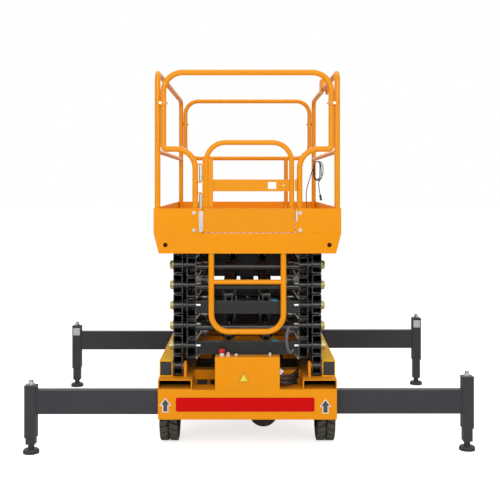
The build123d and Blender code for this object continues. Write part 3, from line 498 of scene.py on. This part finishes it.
def pin_set(steel, zinc, spacer, y, z, outboard, keeper=True):
    """One pin line on both sides: plated nut and washer, painted spacer between the arms, bare inner end."""
    def along(pile, side, ends, radius, drop=0.0, **shape):
        pile.bar((side * ends[0], y, z - drop), (side * ends[1], y, z - drop), radius, **shape)

    for side in (-1, 1):
        if outboard:
            along(zinc, side, WASHER, 0.032, sides=24)
            along(zinc, side, NUT, 0.0296, sides=6)
            along(steel, side, PIN_TIP, 0.016, edge=0.003)
        along(spacer, side, SPACER, PIN + 0.0004, sides=24)
        along(steel, side, BARE_END, PIN + 0.0004, sides=20, edge=0.003)
        along(zinc, side, NIPPLE, 0.0045, sides=8)
        zinc.ball((side * NIPPLE_BALL, y, z), 0.0038)
        if keeper:
            for (x_from, z_from), (x_to, z_to) in zip(KEEPER_WIRE, KEEPER_WIRE[1:]):
                steel.bar((side * x_from, y, z + z_from), (side * x_to, y, z + z_to), 0.0034, sides=8)
            along(zinc, side, KEEPER_SCREW, 0.0075, drop=KEEPER_SCREW_DROP, sides=6)


for stage in range(1, STAGES + 1):
    body = f"inner_frame_{stage}"
    middle = joint_at[f"inner_{stage}_fold"]
    steel_pile, zinc_pile, spacer_pile = Pile(), Pile(), Pile()
    piles = (steel_pile, zinc_pile, spacer_pile)
    pin_set(*piles, NEAR_Y, ROW[stage], outboard=stage < STAGES)
    pin_set(*piles, middle.y, middle.z, outboard=True)
    pin_set(*piles, FAR_Y, ROW[stage - 1], outboard=stage > 1, keeper=stage > 1)
    steel_pile.finish(f"stack_pins_{stage}", PIN_STEEL, body, "black_paint")
    zinc_pile.finish(f"stack_nuts_{stage}", ZINC, body, "black_paint")
    spacer_pile.finish(f"stack_spacers_{stage}", BLACK, body, "black_paint")

# ---------------------------------------------------------------- tyres and rims
TREAD_PITCHES = 24
TREAD_DEPTH = 0.009
TYRE_SHARP_FROM = 28


def wheel_ring(mesh, profile, steps=72):
    """Revolves an outline of (across, radius) about the wheel's own X axis."""
    rings = []
    for step in range(steps):
        angle = 2 * math.pi * step / steps
        rings.append([mesh.verts.new((x, r * math.cos(angle), r * math.sin(angle))) for x, r in profile])
    for step in range(steps):
        here, there = rings[step], rings[(step + 1) % steps]
        for k in range(len(profile)):
            n = (k + 1) % len(profile)
            mesh.faces.new((here[k], here[n], there[n], there[k]))


def tread_block(mesh, corners, inner, outer, inset=0.0016, slices=3):
    """One raised block from four (across, angle) corners, whose sides draw in a little towards the top."""
    middle_x = sum(c[0] for c in corners) / 4
    middle_a = sum(c[1] for c in corners) / 4
    grids = []
    for radius, pull in ((inner, 0.0), (outer - 0.0015, 0.3), (outer, 1.0)):
        row_pairs = []
        for k in range(slices + 1):
            t = k / slices
            pair = []
            for first, second in ((0, 3), (1, 2)):
                x = corners[first][0] + (corners[second][0] - corners[first][0]) * t
                a = corners[first][1] + (corners[second][1] - corners[first][1]) * t
                x -= math.copysign(min(inset * pull, abs(x - middle_x)), x - middle_x)
                a -= math.copysign(min(inset * pull / radius, abs(a - middle_a)), a - middle_a)
                pair.append(mesh.verts.new((x, radius * math.cos(a), radius * math.sin(a))))
            row_pairs.append(pair)
        grids.append(row_pairs)
    for low, high in zip(grids, grids[1:]):
        for k in range(slices):
            mesh.faces.new((low[k][0], low[k + 1][0], high[k + 1][0], high[k][0]))
            mesh.faces.new((low[k][1], high[k][1], high[k + 1][1], low[k + 1][1]))
        mesh.faces.new((low[0][0], high[0][0], high[0][1], low[0][1]))
        mesh.faces.new((low[-1][0], low[-1][1], high[-1][1], high[-1][0]))
    top = grids[-1]
    for k in range(slices):
        mesh.faces.new((top[k][0], top[k + 1][0], top[k + 1][1], top[k][1]))


def make_tyre(node, body):
    low, high = box_of(node)
    middle = (low + high) / 2
    radius = (high.z - low.z) / 2 - 0.0004
    half = (high.x - low.x) / 2
    base = radius - TREAD_DEPTH
    carcass = bmesh.new()
    profile = [(-half + 0.004, 0.1152), (half - 0.004, 0.1152), (half - 0.002, 0.128), (half - 0.001, 0.150),
               (half - 0.004, base - 0.008), (half - 0.012, base), (0.012 - half, base),
               (0.004 - half, base - 0.008), (0.001 - half, 0.150), (0.002 - half, 0.128)]
    wheel_ring(carcass, profile)
    blocks = bmesh.new()
    step = 2 * math.pi / TREAD_PITCHES
    for k in range(TREAD_PITCHES):
        for side in (-1, 1):
            start = k * step + (step / 2 if side > 0 else 0.0)
            lean = 0.42 * step
            gap = 0.10 * step
            waist = 0.003 + 0.006 * ((k + (side > 0)) % 2)
            edge = half - 0.003
            first, last = start + gap, start + step - gap
            corners = [(side * waist, first), (side * edge, first + lean),
                       (side * edge, last + lean), (side * (0.012 - waist), last)]
            tread_block(blocks, corners, base - 0.001, radius)
            inner, outer = side * (edge - 0.001), side * (half - 0.0012)
            shoulder = [(inner, first + lean), (outer, first + lean),
                        (outer, last + lean), (inner, last + lean)]
            tread_block(blocks, shoulder, radius - 0.030, radius - 0.004, inset=0.0006)
    # The carcass, sidewalls included, takes the painted groove shade; the blocks take the tyre rubber.
    for mesh, name, material in ((carcass, f"{node}_carcass", GROOVE_SHADE), (blocks, f"{node}_tread", TYRE)):
        bmesh.ops.translate(mesh, verts=mesh.verts, vec=middle)
        piece = mesh_piece(mesh, name, material, TYRE_SHARP_FROM)
        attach(piece, body)
        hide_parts(node)


WHEEL_NUTS = 6
NUT_CIRCLE = 0.074


def wheel_bolts(node, body):
    """Wheel nuts on the disc and a grease cap on the hub."""
    low, high = box_of(node)
    middle = (low + high) / 2
    out = 1 if middle.x > 0 else -1
    pile = Pile()
    face = middle.x + out * 0.004
    for k in range(WHEEL_NUTS):
        angle = math.radians(360 / WHEEL_NUTS * k + 15)
        y = middle.y + NUT_CIRCLE * math.cos(angle)
        z = middle.z + NUT_CIRCLE * math.sin(angle)
        hexagon(pile, (face, y, z), (face + out * 0.011, y, z), 0.011)
        pile.bar((face + out * 0.011, y, z), (face + out * 0.017, y, z), 0.006, sides=10, edge=0.001)
    cap_start, cap_end = middle.x + out * 0.040, middle.x + out * 0.056
    pile.bar((cap_start, middle.y, middle.z), (cap_end, middle.y, middle.z), 0.034, sides=28, edge=0.006)
    pile.finish(f"{node}_nuts", ZINC, body, "grey_metal")


for end in ("near", "far"):
    for word in ("left", "right"):
        make_tyre(f"{end}_{word}_tyre", f"{end}_{word}_wheel")
        wheel_bolts(f"{end}_{word}_rim", f"{end}_{word}_wheel")

# ---------------------------------------------------------------- signs and arrows on the front panel
PANEL_LOW, PANEL_HIGH = box_of("front_panel")
FRONT_Y = PANEL_LOW.y
FACE_GATE_END = Matrix.Rotation(math.radians(90), 4, "X")


def rounded_strip(width, height, radius, steps=6):
    points = []
    x, y = width / 2 - radius, height / 2 - radius
    for cx, cy, first in ((x, -y, -90), (x, y, 0), (-x, y, 90), (-x, -y, 180)):
        for k in range(steps + 1):
            angle = math.radians(first + 90 * k / steps)
            points.append((cx + radius * math.cos(angle), cy + radius * math.sin(angle)))
    return points


def on_panel(x, z, lift=0.0):
    """A matrix that stands an outline up on the front panel, facing the gate end."""
    return Matrix.Translation((x, FRONT_Y - lift, z)) @ FACE_GATE_END


def panel_plate(name, outline, thickness, x, z, material, lift=0.0):
    """A thin flat plate on the face of the front panel, lifted off it by what lies under it."""
    pile = Pile()
    pile.plate(outline, thickness, on_panel(x, z, lift))
    pile.finish(name, material, "chassis", "orange_paint")


def arrow_outline(grow):
    """An upright arrow with a broad head; grow widens it all round for the pale border."""
    half, neck, top, shoulder, foot = 0.026, 0.013, 0.038, 0.004, -0.038
    wing, low = half + 1.8 * grow, shoulder - grow
    return [(-neck - grow, foot - grow), (neck + grow, foot - grow), (neck + grow, low), (wing, low),
            (0.0, top + 1.6 * grow), (-wing, low), (-neck - grow, low)]


FILM = 0.0008
panel_plate("blank_red_sign", rounded_strip(0.868, 0.088, 0.012), 0.0012, -0.014, 0.3145, RED)
for name, x, z in (("left", -0.513, 0.310), ("right", 0.488, 0.303)):
    panel_plate(f"{name}_arrow_border", arrow_outline(0.006), FILM, x, z, WHITE)
    panel_plate(f"{name}_arrow", arrow_outline(0.0), FILM, x, z, ARROW, lift=FILM)

# ---------------------------------------------------------------- control box fittings
BOX_LOW, BOX_HIGH = box_of("control_box")
TRIANGLE_AT = (-0.022, 0.483)
OUTER_TRIANGLE = [(-0.033, -0.026), (0.033, -0.026), (0.0, 0.032)]
INNER_TRIANGLE = [(-0.026, -0.022), (0.026, -0.022), (0.0, 0.0235)]
panel_plate("blank_triangle_edge", OUTER_TRIANGLE, FILM, *TRIANGLE_AT, OLIVE)
panel_plate("blank_triangle", INNER_TRIANGLE, 0.0006, *TRIANGLE_AT, TRIANGLE, lift=FILM)

BOX_TOP = BOX_HIGH.z
BUTTON_Y = BOX_LOW.y + 0.030
STUD_Y = BUTTON_Y + 0.01
STOP_X, PILOT_X = -0.160, -0.121
LATCH_Y, LATCH_Z = BOX_LOW.y + 0.028, 0.516


def upright(pile, x, y, low, high, radius, **shape):
    """A bar that stands on the box, between two heights above its top."""
    pile.bar((x, y, BOX_TOP + low), (x, y, BOX_TOP + high), radius, **shape)


stop = Pile()
upright(stop, STOP_X, BUTTON_Y, 0.020, 0.034, 0.013, sides=20, end_radius=0.0205)
upright(stop, STOP_X, BUTTON_Y, 0.034, 0.047, 0.0205, sides=28, edge=0.006)
stop.finish("stop_button", BUTTON_RED, "chassis", "orange_paint")
collar = Pile()
upright(collar, STOP_X, BUTTON_Y, 0.0, 0.021, 0.014, sides=20, edge=0.002)
upright(collar, PILOT_X, BUTTON_Y, 0.0, 0.006, 0.016, sides=20, edge=0.002)
upright(collar, -0.070, STUD_Y, 0.0, 0.014, 0.010, sides=16, edge=0.002)
upright(collar, 0.142, STUD_Y, 0.0, 0.020, 0.008, sides=12, edge=0.002)
collar.finish("button_collars", WHITE, "chassis", "orange_paint")
pilot = Pile()
upright(pilot, PILOT_X, BUTTON_Y, 0.006, 0.026, 0.012, sides=20, edge=0.004)
pilot.finish("pilot_button", BUTTON_PINK, "chassis", "orange_paint")
latch = Pile()
latch_face = BOX_HIGH.x + 0.014
latch.slab((BOX_HIGH.x, LATCH_Y - 0.016, LATCH_Z - 0.018),
           (latch_face, LATCH_Y + 0.016, LATCH_Z + 0.018), edge=0.003)
latch.bar((latch_face, LATCH_Y, LATCH_Z), (latch_face + 0.008, LATCH_Y, LATCH_Z), 0.009, edge=0.002)
latch.finish("box_latch", PIN_STEEL, "chassis", "orange_paint")

# ---------------------------------------------------------------- hoses
LOOP_HOSE = [(0.262, 0.030, 0.785), (0.252, 0.048, 0.760), (0.246, 0.056, 0.715), (0.250, 0.056, 0.668),
             (0.262, 0.050, 0.632), (0.276, 0.036, 0.620), (0.290, 0.020, 0.640)]
tube_along("inner_hose_loop", [(x, NEAR_Y - ahead, z) for x, ahead, z in LOOP_HOSE], 0.011, GREY_HOSE,
           "inner_frame_1")
for k in range(3):
    z = 0.432 + 0.022 * k
    bend_y = FRONT_Y + 0.060 + 0.01 * k
    box_hose = [(0.206, FRONT_Y + 0.050, z + 0.016), (0.225, FRONT_Y + 0.040, z + 0.010), (0.262, bend_y, z),
                (0.300, FRONT_Y + 0.110, z + 0.004), (0.325, FRONT_Y + 0.180, z + 0.020)]
    tube_along(f"box_hose_{k + 1}", box_hose, 0.010, HOSE, "chassis")

FAR_BEAM_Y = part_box("inner_frame_3")[1][1] - 0.036


HOSE_SAG = [(-0.300, 0.022), (-0.285, 0.004), (-0.260, 0.0), (-0.120, -0.001), (0.0, 0.001), (0.120, -0.001),
            (0.260, 0.0), (0.285, 0.004), (0.300, 0.022)]
HEAD_RISE, FOOT_RISE = 0.0760, -0.0515


def far_hose(stage, rise):
    """A hydraulic hose clipped along the head or the foot of a frame's far beam."""
    z = ROW[stage - 1] + rise
    y = FAR_BEAM_Y - 0.0095
    word = "head" if rise > 0 else "foot"
    body = f"inner_frame_{stage}"
    route = [(x, y, z + sag) for x, sag in HOSE_SAG]
    tube_along(f"{word}_hose_{stage}", route, 0.0085, HOSE, body)
    clips = Pile()
    for x in (-0.200, 0.0, 0.200):
        clips.slab((x - 0.008, y - 0.0095, z - 0.0095), (x + 0.008, FAR_BEAM_Y, z + 0.0095), edge=0.002)
    clips.finish(f"{word}_hose_clips_{stage}", PIN_STEEL, body, "black_paint")


for stage, rise in ((2, HEAD_RISE), (2, FOOT_RISE), (4, HEAD_RISE), (6, FOOT_RISE)):
    far_hose(stage, rise)
JUNCTION_FACE = FAR_BEAM_Y + 0.004
JUNCTION_Z = ROW[3]
junction = Pile()
junction.slab((-0.062, JUNCTION_FACE, JUNCTION_Z - 0.052),
              (0.053, FAR_BEAM_Y + 0.030, JUNCTION_Z + 0.004), edge=0.003)
for x in (-0.040, -0.005, 0.030):
    z = JUNCTION_Z - 0.036
    hexagon(junction, (x, JUNCTION_FACE, z), (x, FAR_BEAM_Y - 0.010, z), 0.011)
junction.finish("hose_junction", BLACK, "inner_frame_4", "black_paint")

# ---------------------------------------------------------------- pendant cord
CORD_RADIUS = 0.0035
HANK_LOW, HANK_HIGH = box_of("cord_hank")
HANK = (HANK_LOW + HANK_HIGH) / 2
TRAY_LOW, TRAY_HIGH = box_of("platform_tray")
TRAY_MIDDLE_Y = (TRAY_LOW.y + TRAY_HIGH.y) / 2
LEAD = [(0.500, 0.745, 1.386), (0.498, 0.745, 1.432), (0.489, 0.744, 1.496), (0.481, 0.743, 1.566),
        (0.484, 0.743, 1.636), (0.501, 0.744, 1.704), (0.520, 0.745, 1.762), (0.533, 0.745, 1.806)]
TAIL = [(0.584, 0.745, 1.709), (0.586, 0.746, 1.674), (0.591, 0.746, 1.638), (0.597, 0.745, 1.604)]
HANK_TURNS = 4.64
TURN_POINTS = 14
TURN_SIZES = [(0.58, 0.92), (0.54, 0.97), (0.64, 0.88), (0.55, 1.00), (1.00, 0.96), (1.00, 0.96)]


def round_loop(share, wide, tall):
    """A place on an upright loop of straight runs and round folds, a share of the way round from its left."""
    run, fold = 2 * (tall - wide), math.pi * wide
    along = share * 2 * (run + fold)
    if along < run / 2:
        return -wide, along
    along -= run / 2
    if along < fold:
        return -wide * math.cos(along / wide), run / 2 + wide * math.sin(along / wide)
    along -= fold
    if along < run:
        return wide, run / 2 - along
    along -= run
    if along < fold:
        return wide * math.cos(along / wide), -run / 2 - wide * math.sin(along / wide)
    return -wide, along - fold - run / 2


def hank_points():
    """Loose hanging turns that differ in width and fan out to one side."""
    points = []
    half_x = (HANK_HIGH.x - HANK_LOW.x) / 2 - CORD_RADIUS - 0.001
    half_z = (HANK_HIGH.z - HANK_LOW.z) / 2 - CORD_RADIUS - 0.001
    half_y = (HANK_HIGH.y - HANK_LOW.y) / 2 - CORD_RADIUS
    for k in range(1, int(HANK_TURNS * TURN_POINTS) + 1):
        turn = k / TURN_POINTS
        here, there = TURN_SIZES[int(turn)], TURN_SIZES[int(turn) + 1]
        blend = turn - int(turn)
        wide = half_x * (here[0] + (there[0] - here[0]) * blend)
        tall = half_z * (here[1] + (there[1] - here[1]) * blend)
        x, z = round_loop(blend, wide, tall)
        y = HANK.y + half_y * (2 * turn / HANK_TURNS - 1) * 0.95
        points.append((HANK.x + x - (half_x - wide) * 0.55, y, HANK.z + z + (half_z - tall) * 0.9))
    return points


def from_tray(points):
    """Points given from the tray's middle along Y, put where the tray stands."""
    return [(x, y + TRAY_MIDDLE_Y, z) for x, y, z in points]


route = from_tray(LEAD) + hank_points() + from_tray(TAIL)
cord = tube_along("pendant_cord", route, CORD_RADIUS, CORD, "platform", sides=12)
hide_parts("cord_lead", "cord_hank", "cord_tail")

# ---------------------------------------------------------------- deck tread, gate fittings and rail clamps
DECK_Z = TRAY_HIGH.z


def deck_tread():
    """Raised lozenges at right angles to each other all over the deck."""
    pitch, half_long, half_wide, height = 0.040, 0.0150, 0.0030, 0.0016
    rows = int((TRAY_HIGH.y - TRAY_LOW.y - 0.05) / pitch)
    columns = int((TRAY_HIGH.x - TRAY_LOW.x - 0.07) / pitch)
    pile = Pile()
    outline = [(-half_long, 0.0), (-half_long / 2, -half_wide), (half_long / 2, -half_wide), (half_long, 0.0),
               (half_long / 2, half_wide), (-half_long / 2, half_wide)]
    for row in range(rows):
        for column in range(columns):
            x = (column - (columns - 1) / 2) * pitch
            y = TRAY_MIDDLE_Y + (row - (rows - 1) / 2) * pitch
            turn = math.radians(45 if (row + column) % 2 else -45)
            place = Matrix.Translation((x, y, DECK_Z - 0.0002)) @ Matrix.Rotation(turn, 4, "Z")
            pile.plate(outline, height, place)
    pile.finish("deck_tread", DECK, "platform", "orange_paint")


deck_tread()
RAIL_LOW, RAIL_HIGH = box_of("near_rail")
GATE_Y = (RAIL_LOW.y + RAIL_HIGH.y) / 2
TOE_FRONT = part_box("toe_boards")[0][1]
GATE_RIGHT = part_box("gate")[1][0]
HINGE = joint_at["gate_swing"]
HINGE_LOWS = (DECK_Z + 0.148, DECK_Z + 0.328)
HINGE_HEIGHT = 0.096
HINGE_COILS = 14
KNOB_X = 0.225
KNOB_Z = DECK_Z + 0.298
bolts = Pile()
for x in (-0.334, 0.330):
    for z in (DECK_Z + 0.127, DECK_Z + 0.019):
        hexagon(bolts, (x, TOE_FRONT - 0.001, z), (x, TOE_FRONT - 0.006, z), 0.0082)
        bolts.bar((x, TOE_FRONT, z), (x, TOE_FRONT - 0.0015, z), 0.0115, sides=20)
bolts.slab((GATE_RIGHT + 0.007, TOE_FRONT - 0.003, DECK_Z + 0.075),
           (GATE_RIGHT + 0.019, TOE_FRONT, DECK_Z + 0.142), edge=0.001)
bolts.finish("toe_board_bolts", PIN_STEEL, "platform", "orange_paint")
leaves = Pile()
leaves.slab((HINGE.x - 0.012, TOE_FRONT - 0.004, DECK_Z + 0.010),
            (HINGE.x + 0.014, TOE_FRONT + 0.001, DECK_Z + 0.140), edge=0.001)
leaves.finish("hinge_plate", PIN_STEEL, "gate", "orange_paint")
springs = Pile()
for low_z in HINGE_LOWS:
    high_z = low_z + HINGE_HEIGHT
    springs.bar((HINGE.x, HINGE.y, low_z), (HINGE.x, HINGE.y, high_z), 0.0118, sides=20, edge=0.002)
    for coil in range(HINGE_COILS):
        z = low_z + HINGE_HEIGHT * (coil + 0.5) / HINGE_COILS
        springs.bar((HINGE.x, HINGE.y, z - 0.0022), (HINGE.x, HINGE.y, z + 0.0022), 0.0132, sides=20)
springs.finish("spring_barrels", PIN_STEEL, "gate", "orange_paint")
knob = Pile()
knob.bar((KNOB_X, GATE_Y - 0.002, KNOB_Z), (KNOB_X, GATE_Y - 0.012, KNOB_Z), 0.008, edge=0.002)
knob.finish("gate_knob", ZINC, "gate", "orange_paint")
strike = Pile()
strike.slab((GATE_RIGHT + 0.001, GATE_Y - 0.022, DECK_Z + 0.264),
            (GATE_RIGHT + 0.017, GATE_Y - 0.012, DECK_Z + 0.338), edge=0.002)
strike.finish("gate_strike", RAIL, "platform", "orange_paint")

CLAMP_Z = DECK_Z + 0.815
SIDE_RAIL_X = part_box("right_side_rail")[1][0] - 0.018
HOOP_X = RAIL_HIGH.x - 0.018
FAR_RAIL_Y = (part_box("far_rail")[0][1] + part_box("far_rail")[1][1]) / 2
clamps, clamp_bolts = Pile(), Pile()
for side in (-1, 1):
    for y, outward in ((GATE_Y, -1), (FAR_RAIL_Y, 1)):
        inboard, outboard = side * (HOOP_X - 0.019), side * (SIDE_RAIL_X + 0.004)
        face = y + outward * 0.0195
        clamps.slab((inboard, y, CLAMP_Z - 0.014), (outboard, face, CLAMP_Z + 0.014), edge=0.0015)
        hexagon(clamp_bolts, (inboard, y, CLAMP_Z), (inboard - side * 0.009, y, CLAMP_Z), 0.0075)
        middle = side * (HOOP_X + SIDE_RAIL_X) / 2
        hexagon(clamp_bolts, (middle, face, CLAMP_Z), (middle, face + outward * 0.005, CLAMP_Z), 0.0075)
clamps.finish("rail_clamps", RAIL, "platform", "orange_paint")
clamp_bolts.finish("rail_clamp_bolts", PIN_STEEL, "platform", "orange_paint")

# ---------------------------------------------------------------- leg caps, screws, welds and blank labels


def weld(pile, start, end, radius=0.0035, pitch=0.006):
    """A run of small overlapping ripples between two points."""
    start, end = Vector(start), Vector(end)
    count = max(2, int((end - start).length / pitch))
    step = (end - start) / count
    for k in range(count):
        here = start + step * k
        pile.bar(here, here + step * 1.1, radius, sides=8, end_radius=radius * 0.62)


LEG_HALF = 0.036
BEAM_LOWS = {"near": 0.250, "far": 0.310}
BEAM_HEIGHT = 0.150
NEAR_RIGHT_DROP = 0.014
for end in ("near", "far"):
    for word in ("left", "right"):
        node = f"{end}_{word}_beam"
        low, high = box_of(node)
        outer = low.x if word == "left" else high.x
        inward = 1 if word == "left" else -1
        x = outer + inward * LEG_HALF
        y = (low.y + high.y) / 2
        top = high.z - 0.036
        beam_low = BEAM_LOWS[end] - (NEAR_RIGHT_DROP if node == "near_right_beam" else 0.0)
        beam_high = beam_low + BEAM_HEIGHT
        cap = Pile()
        cap.slab((x - 0.039, y - 0.039, top - 0.001), (x + 0.039, y + 0.039, top + 0.005), edge=0.0015)
        cap.finish(f"{end}_{word}_leg_cap", GREY, node, "dark_paint")
        screw = Pile()
        hexagon(screw, (x, y, top + 0.005), (x, y, top + 0.018), 0.024)
        screw.bar((x, y, top + 0.018), (x, y, high.z + 0.0005), 0.0145, sides=20, edge=0.003)
        screw.finish(f"{end}_{word}_screw", PIN_STEEL, node, "dark_paint")
        seam = Pile()
        face = x + inward * LEG_HALF
        for side_y in (y - 0.0305, y + 0.0305):
            weld(seam, (face, side_y, beam_low), (face, side_y, beam_high))
        for z in (beam_low - 0.0005, beam_high + 0.0005):
            weld(seam, (face, y - 0.030, z), (face, y + 0.030, z))
        seam.finish(f"{end}_{word}_weld", GREY, node, "dark_paint")
        if end == "far":
            label = Pile()
            face_y = y - LEG_HALF
            label.slab((x - 0.028, face_y - 0.0012, top - 0.072), (x + 0.028, face_y, top - 0.012))
            label.finish(f"{end}_{word}_blank_label", LABEL, node, "dark_paint")

# ---------------------------------------------------------------- chassis: beam end plates and welds
SIDE_LOW, SIDE_HIGH = box_of("side_beams")
plates, seams = Pile(), Pile()
for side in (-1, 1):
    inner, outer = side * (SIDE_HIGH.x - 0.078), side * (SIDE_HIGH.x - 0.006)
    plates.slab((inner, SIDE_LOW.y + 0.003, SIDE_LOW.z + 0.006),
                (outer, SIDE_LOW.y + 0.009, SIDE_HIGH.z - 0.006), edge=0.0006)
    edge_x = side * (SIDE_HIGH.x - 0.084)
    edge_z = SIDE_LOW.z + 0.001
    weld(seams, (edge_x, SIDE_LOW.y + 0.002, edge_z), (edge_x, SIDE_HIGH.y - 0.01, edge_z), pitch=0.012)
plates.finish("side_beam_end_plates", GREY, "chassis", "dark_paint")
POCKET_INNER = SIDE_HIGH.x - 0.212
for side in (-1, 1):
    for x in (side * POCKET_INNER, side * (SIDE_HIGH.x - 0.0015)):
        weld(seams, (x, FRONT_Y + 0.0005, PANEL_HIGH.z + 0.001), (x, FRONT_Y + 0.0005, PANEL_HIGH.z + 0.062),
             radius=0.0022)
box_seam_z = BOX_LOW.z + 0.001
weld(seams, (BOX_HIGH.x, BOX_LOW.y + 0.004, box_seam_z),
     (POCKET_INNER, FRONT_Y + 0.004, box_seam_z), radius=0.0025)
seams.finish("chassis_welds", ORANGE, "chassis", "orange_paint")

POWER_HIGH = Vector(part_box("power_pack")[1])
bulkhead = Pile()
BULKHEAD_TOP = 0.408
bulkhead_back = POWER_HIGH.y + 0.024
bulkhead.slab((-0.400, POWER_HIGH.y + 0.020, 0.236), (0.400, bulkhead_back, BULKHEAD_TOP), edge=0.001)
for x in (-0.380, -0.130, 0.130, 0.380):
    bulkhead.slab((x - 0.003, bulkhead_back, 0.250),
                  (x + 0.003, POWER_HIGH.y + 0.060, BULKHEAD_TOP), edge=0.001)
bulkhead.finish("power_pack_bulkhead", ORANGE, "chassis", "orange_paint")
# Thin dark sheets just inside the walls, roof and floor of the fork pockets: painted shade of the deep
# pockets, in the running-gear black.
pocket_shade = Pile()
POCKET_LOW, POCKET_HIGH = box_of("fork_pockets")
POCKET_FLOOR = PANEL_HIGH.z + 0.006
POCKET_ROOF = PANEL_HIGH.z + 0.058
for side in (-1, 1):
    x_ends = sorted((side * (POCKET_INNER + 0.0068), side * (POCKET_HIGH.x - 0.0068)))
    for x in x_ends:
        pocket_shade.slab((x - 0.0006, POCKET_LOW.y + 0.040, POCKET_FLOOR + 0.001),
                    (x + 0.0006, POCKET_HIGH.y - 0.030, POCKET_ROOF - 0.001))
    pocket_shade.slab((x_ends[0], POCKET_LOW.y + 0.020, POCKET_ROOF - 0.0016),
                (x_ends[1], POCKET_HIGH.y - 0.030, POCKET_ROOF - 0.0004))
    pocket_shade.slab((x_ends[0], POCKET_LOW.y + 0.130, POCKET_FLOOR + 0.0004),
                (x_ends[1], POCKET_HIGH.y - 0.030, POCKET_FLOOR + 0.0016))
pocket_shade.finish("pocket_painted_shade", UNDER, "chassis", "dark_paint")

# ---------------------------------------------------------------- lift cylinders: glands, ports and a valve
for name, stage in (("lower", 1), ("upper", 3)):
    foot = joint_at[f"{name}_cylinder_tilt"]
    run = next(Vector(joint["axis"]) for joint in frame["joints"] if joint["name"] == f"{name}_rod_slide")
    gland, port, valve = Pile(), Pile(), Pile()
    for x in (-0.120, 0.120):
        base = Vector((x, foot.y, foot.z))
        end = base + run * 1.080
        gland.bar(end - run * 0.060, end - run * 0.012, 0.0475, sides=36, edge=0.003)
        gland.bar(end - run * 0.012, end + run * 0.004, 0.0380, sides=36, edge=0.003)
        gland.bar(base + run * 0.046, base + run * 0.060, 0.0470, sides=36)
        above = base + run * 0.085 + Vector((0.0, 0.0, 0.044))
        port.bar(above, above + Vector((0.0, 0.0, 0.012)), 0.014, sides=6)
        port.bar(above + Vector((0.0, 0.0, 0.010)), above + Vector((0.0, 0.0, 0.018)), 0.009, sides=16)
    gland.finish(f"{name}_cylinder_glands", BLACK, f"{name}_barrels", "black_paint")
    port.finish(f"{name}_cylinder_ports", BLACK, f"{name}_barrels", "black_paint")
    valve.slab((0.148, foot.y - 0.075, foot.z - 0.036), (0.196, foot.y - 0.037, foot.z - 0.022), edge=0.003)
    knob_z = foot.z - 0.024
    valve.bar((0.169, foot.y - 0.074, knob_z), (0.169, foot.y - 0.090, knob_z), 0.008, sides=16, edge=0.002)
    valve.finish(f"{name}_lowering_valve", TEAL, f"inner_frame_{stage}", "black_paint")

# ---------------------------------------------------------------- floor, light and camera
FLOOR_WHITE = (0.90, 0.90, 0.90)
FLOOR_GLOW = 0.72
FLOOR_REACH = 60.0
DOME = 0.36


def make_floor():
    data = bpy.data.meshes.new("floor")
    signs = ((-1, -1), (1, -1), (1, 1), (-1, 1))
    data.from_pydata([(x * FLOOR_REACH, y * FLOOR_REACH, 0.0) for x, y in signs], [], [(0, 1, 2, 3)])
    floor = bpy.data.objects.new("floor", data)
    bpy.context.collection.objects.link(floor)
    floor.location.z = -0.0005
    material = bpy.data.materials.new("pale_floor")
    material.use_nodes = True
    tree = material.node_tree
    shader = tree.nodes["Principled BSDF"]
    shader.inputs["Base Color"].default_value = (*FLOOR_WHITE, 1.0)
    shader.inputs["Roughness"].default_value = 0.9
    shader.inputs["Specular IOR Level"].default_value = 0.0
    shader.inputs["Emission Color"].default_value = (1.0, 1.0, 1.0, 1.0)
    seen = add_node(tree, "ShaderNodeLightPath").outputs["Is Camera Ray"]
    tree.links.new(math_node(tree, "MULTIPLY", seen, FLOOR_GLOW), shader.inputs["Emission Strength"])
    data.materials.append(material)


def make_world():
    """White where the camera, gloss or glass sees it, and a plain grey dome of light for everything else."""
    world = bpy.data.worlds.new("studio")
    bpy.context.scene.world = world
    world.use_nodes = True
    tree = world.node_tree
    background = tree.nodes["Background"]
    background.inputs["Color"].default_value = (1.0, 1.0, 1.0, 1.0)
    path = add_node(tree, "ShaderNodeLightPath")
    seen = math_node(tree, "MAXIMUM", path.outputs["Is Camera Ray"], path.outputs["Is Transmission Ray"])
    seen = math_node(tree, "MAXIMUM", seen, path.outputs["Is Glossy Ray"])
    strength = math_node(tree, "ADD", math_node(tree, "MULTIPLY", seen, 1.0 - DOME), DOME)
    tree.links.new(strength, background.inputs["Strength"])


def soft_light(name, place, aim, size, power):
    data = bpy.data.lights.new(name, "AREA")
    data.shape = "RECTANGLE"
    data.size, data.size_y = size
    data.energy = power
    lamp = bpy.data.objects.new(name, data)
    bpy.context.collection.objects.link(lamp)
    lamp.location = place
    lamp.rotation_euler = (Vector(aim) - Vector(place)).to_track_quat("-Z", "Y").to_euler()


make_floor()
make_world()
# Each softbox: name, place, what it aims at, size in metres and watts
for softbox in (("front_softbox", (0.0, -6.7, 3.5), (0.0, -1.0, 1.0), (4.4, 2.2), 190),
                ("left_softbox", (-5.5, -3.5, 4.0), (0.0, 0.0, 1.1), (3.0, 3.0), 60),
                ("right_softbox", (5.5, -3.0, 4.0), (0.0, 0.0, 1.1), (3.0, 3.0), 48),
                ("top_softbox", (0.0, 0.0, 7.0), (0.0, 0.0, 0.0), (5.0, 5.0), 170),
                ("back_softbox", (0.0, 6.0, 5.0), (0.0, 0.0, 1.2), (4.0, 3.0), 110)):
    soft_light(*softbox)

EYE_HEIGHT = 1.70
EYE_DISTANCE = 5.60
LENS = 64.5
camera_data = bpy.data.cameras.new("camera")
camera_data.lens = LENS
camera_data.sensor_width = 36.0
camera_data.shift_x = 0.0052
camera_data.shift_y = -0.134
camera = bpy.data.objects.new("camera", camera_data)
bpy.context.collection.objects.link(camera)
camera.location = (0.0, FRONT_Y - EYE_DISTANCE, EYE_HEIGHT)
camera.rotation_euler = (math.radians(90), 0.0, 0.0)
bpy.context.scene.camera = camera
bpy.context.scene.view_settings.view_transform = "Standard"
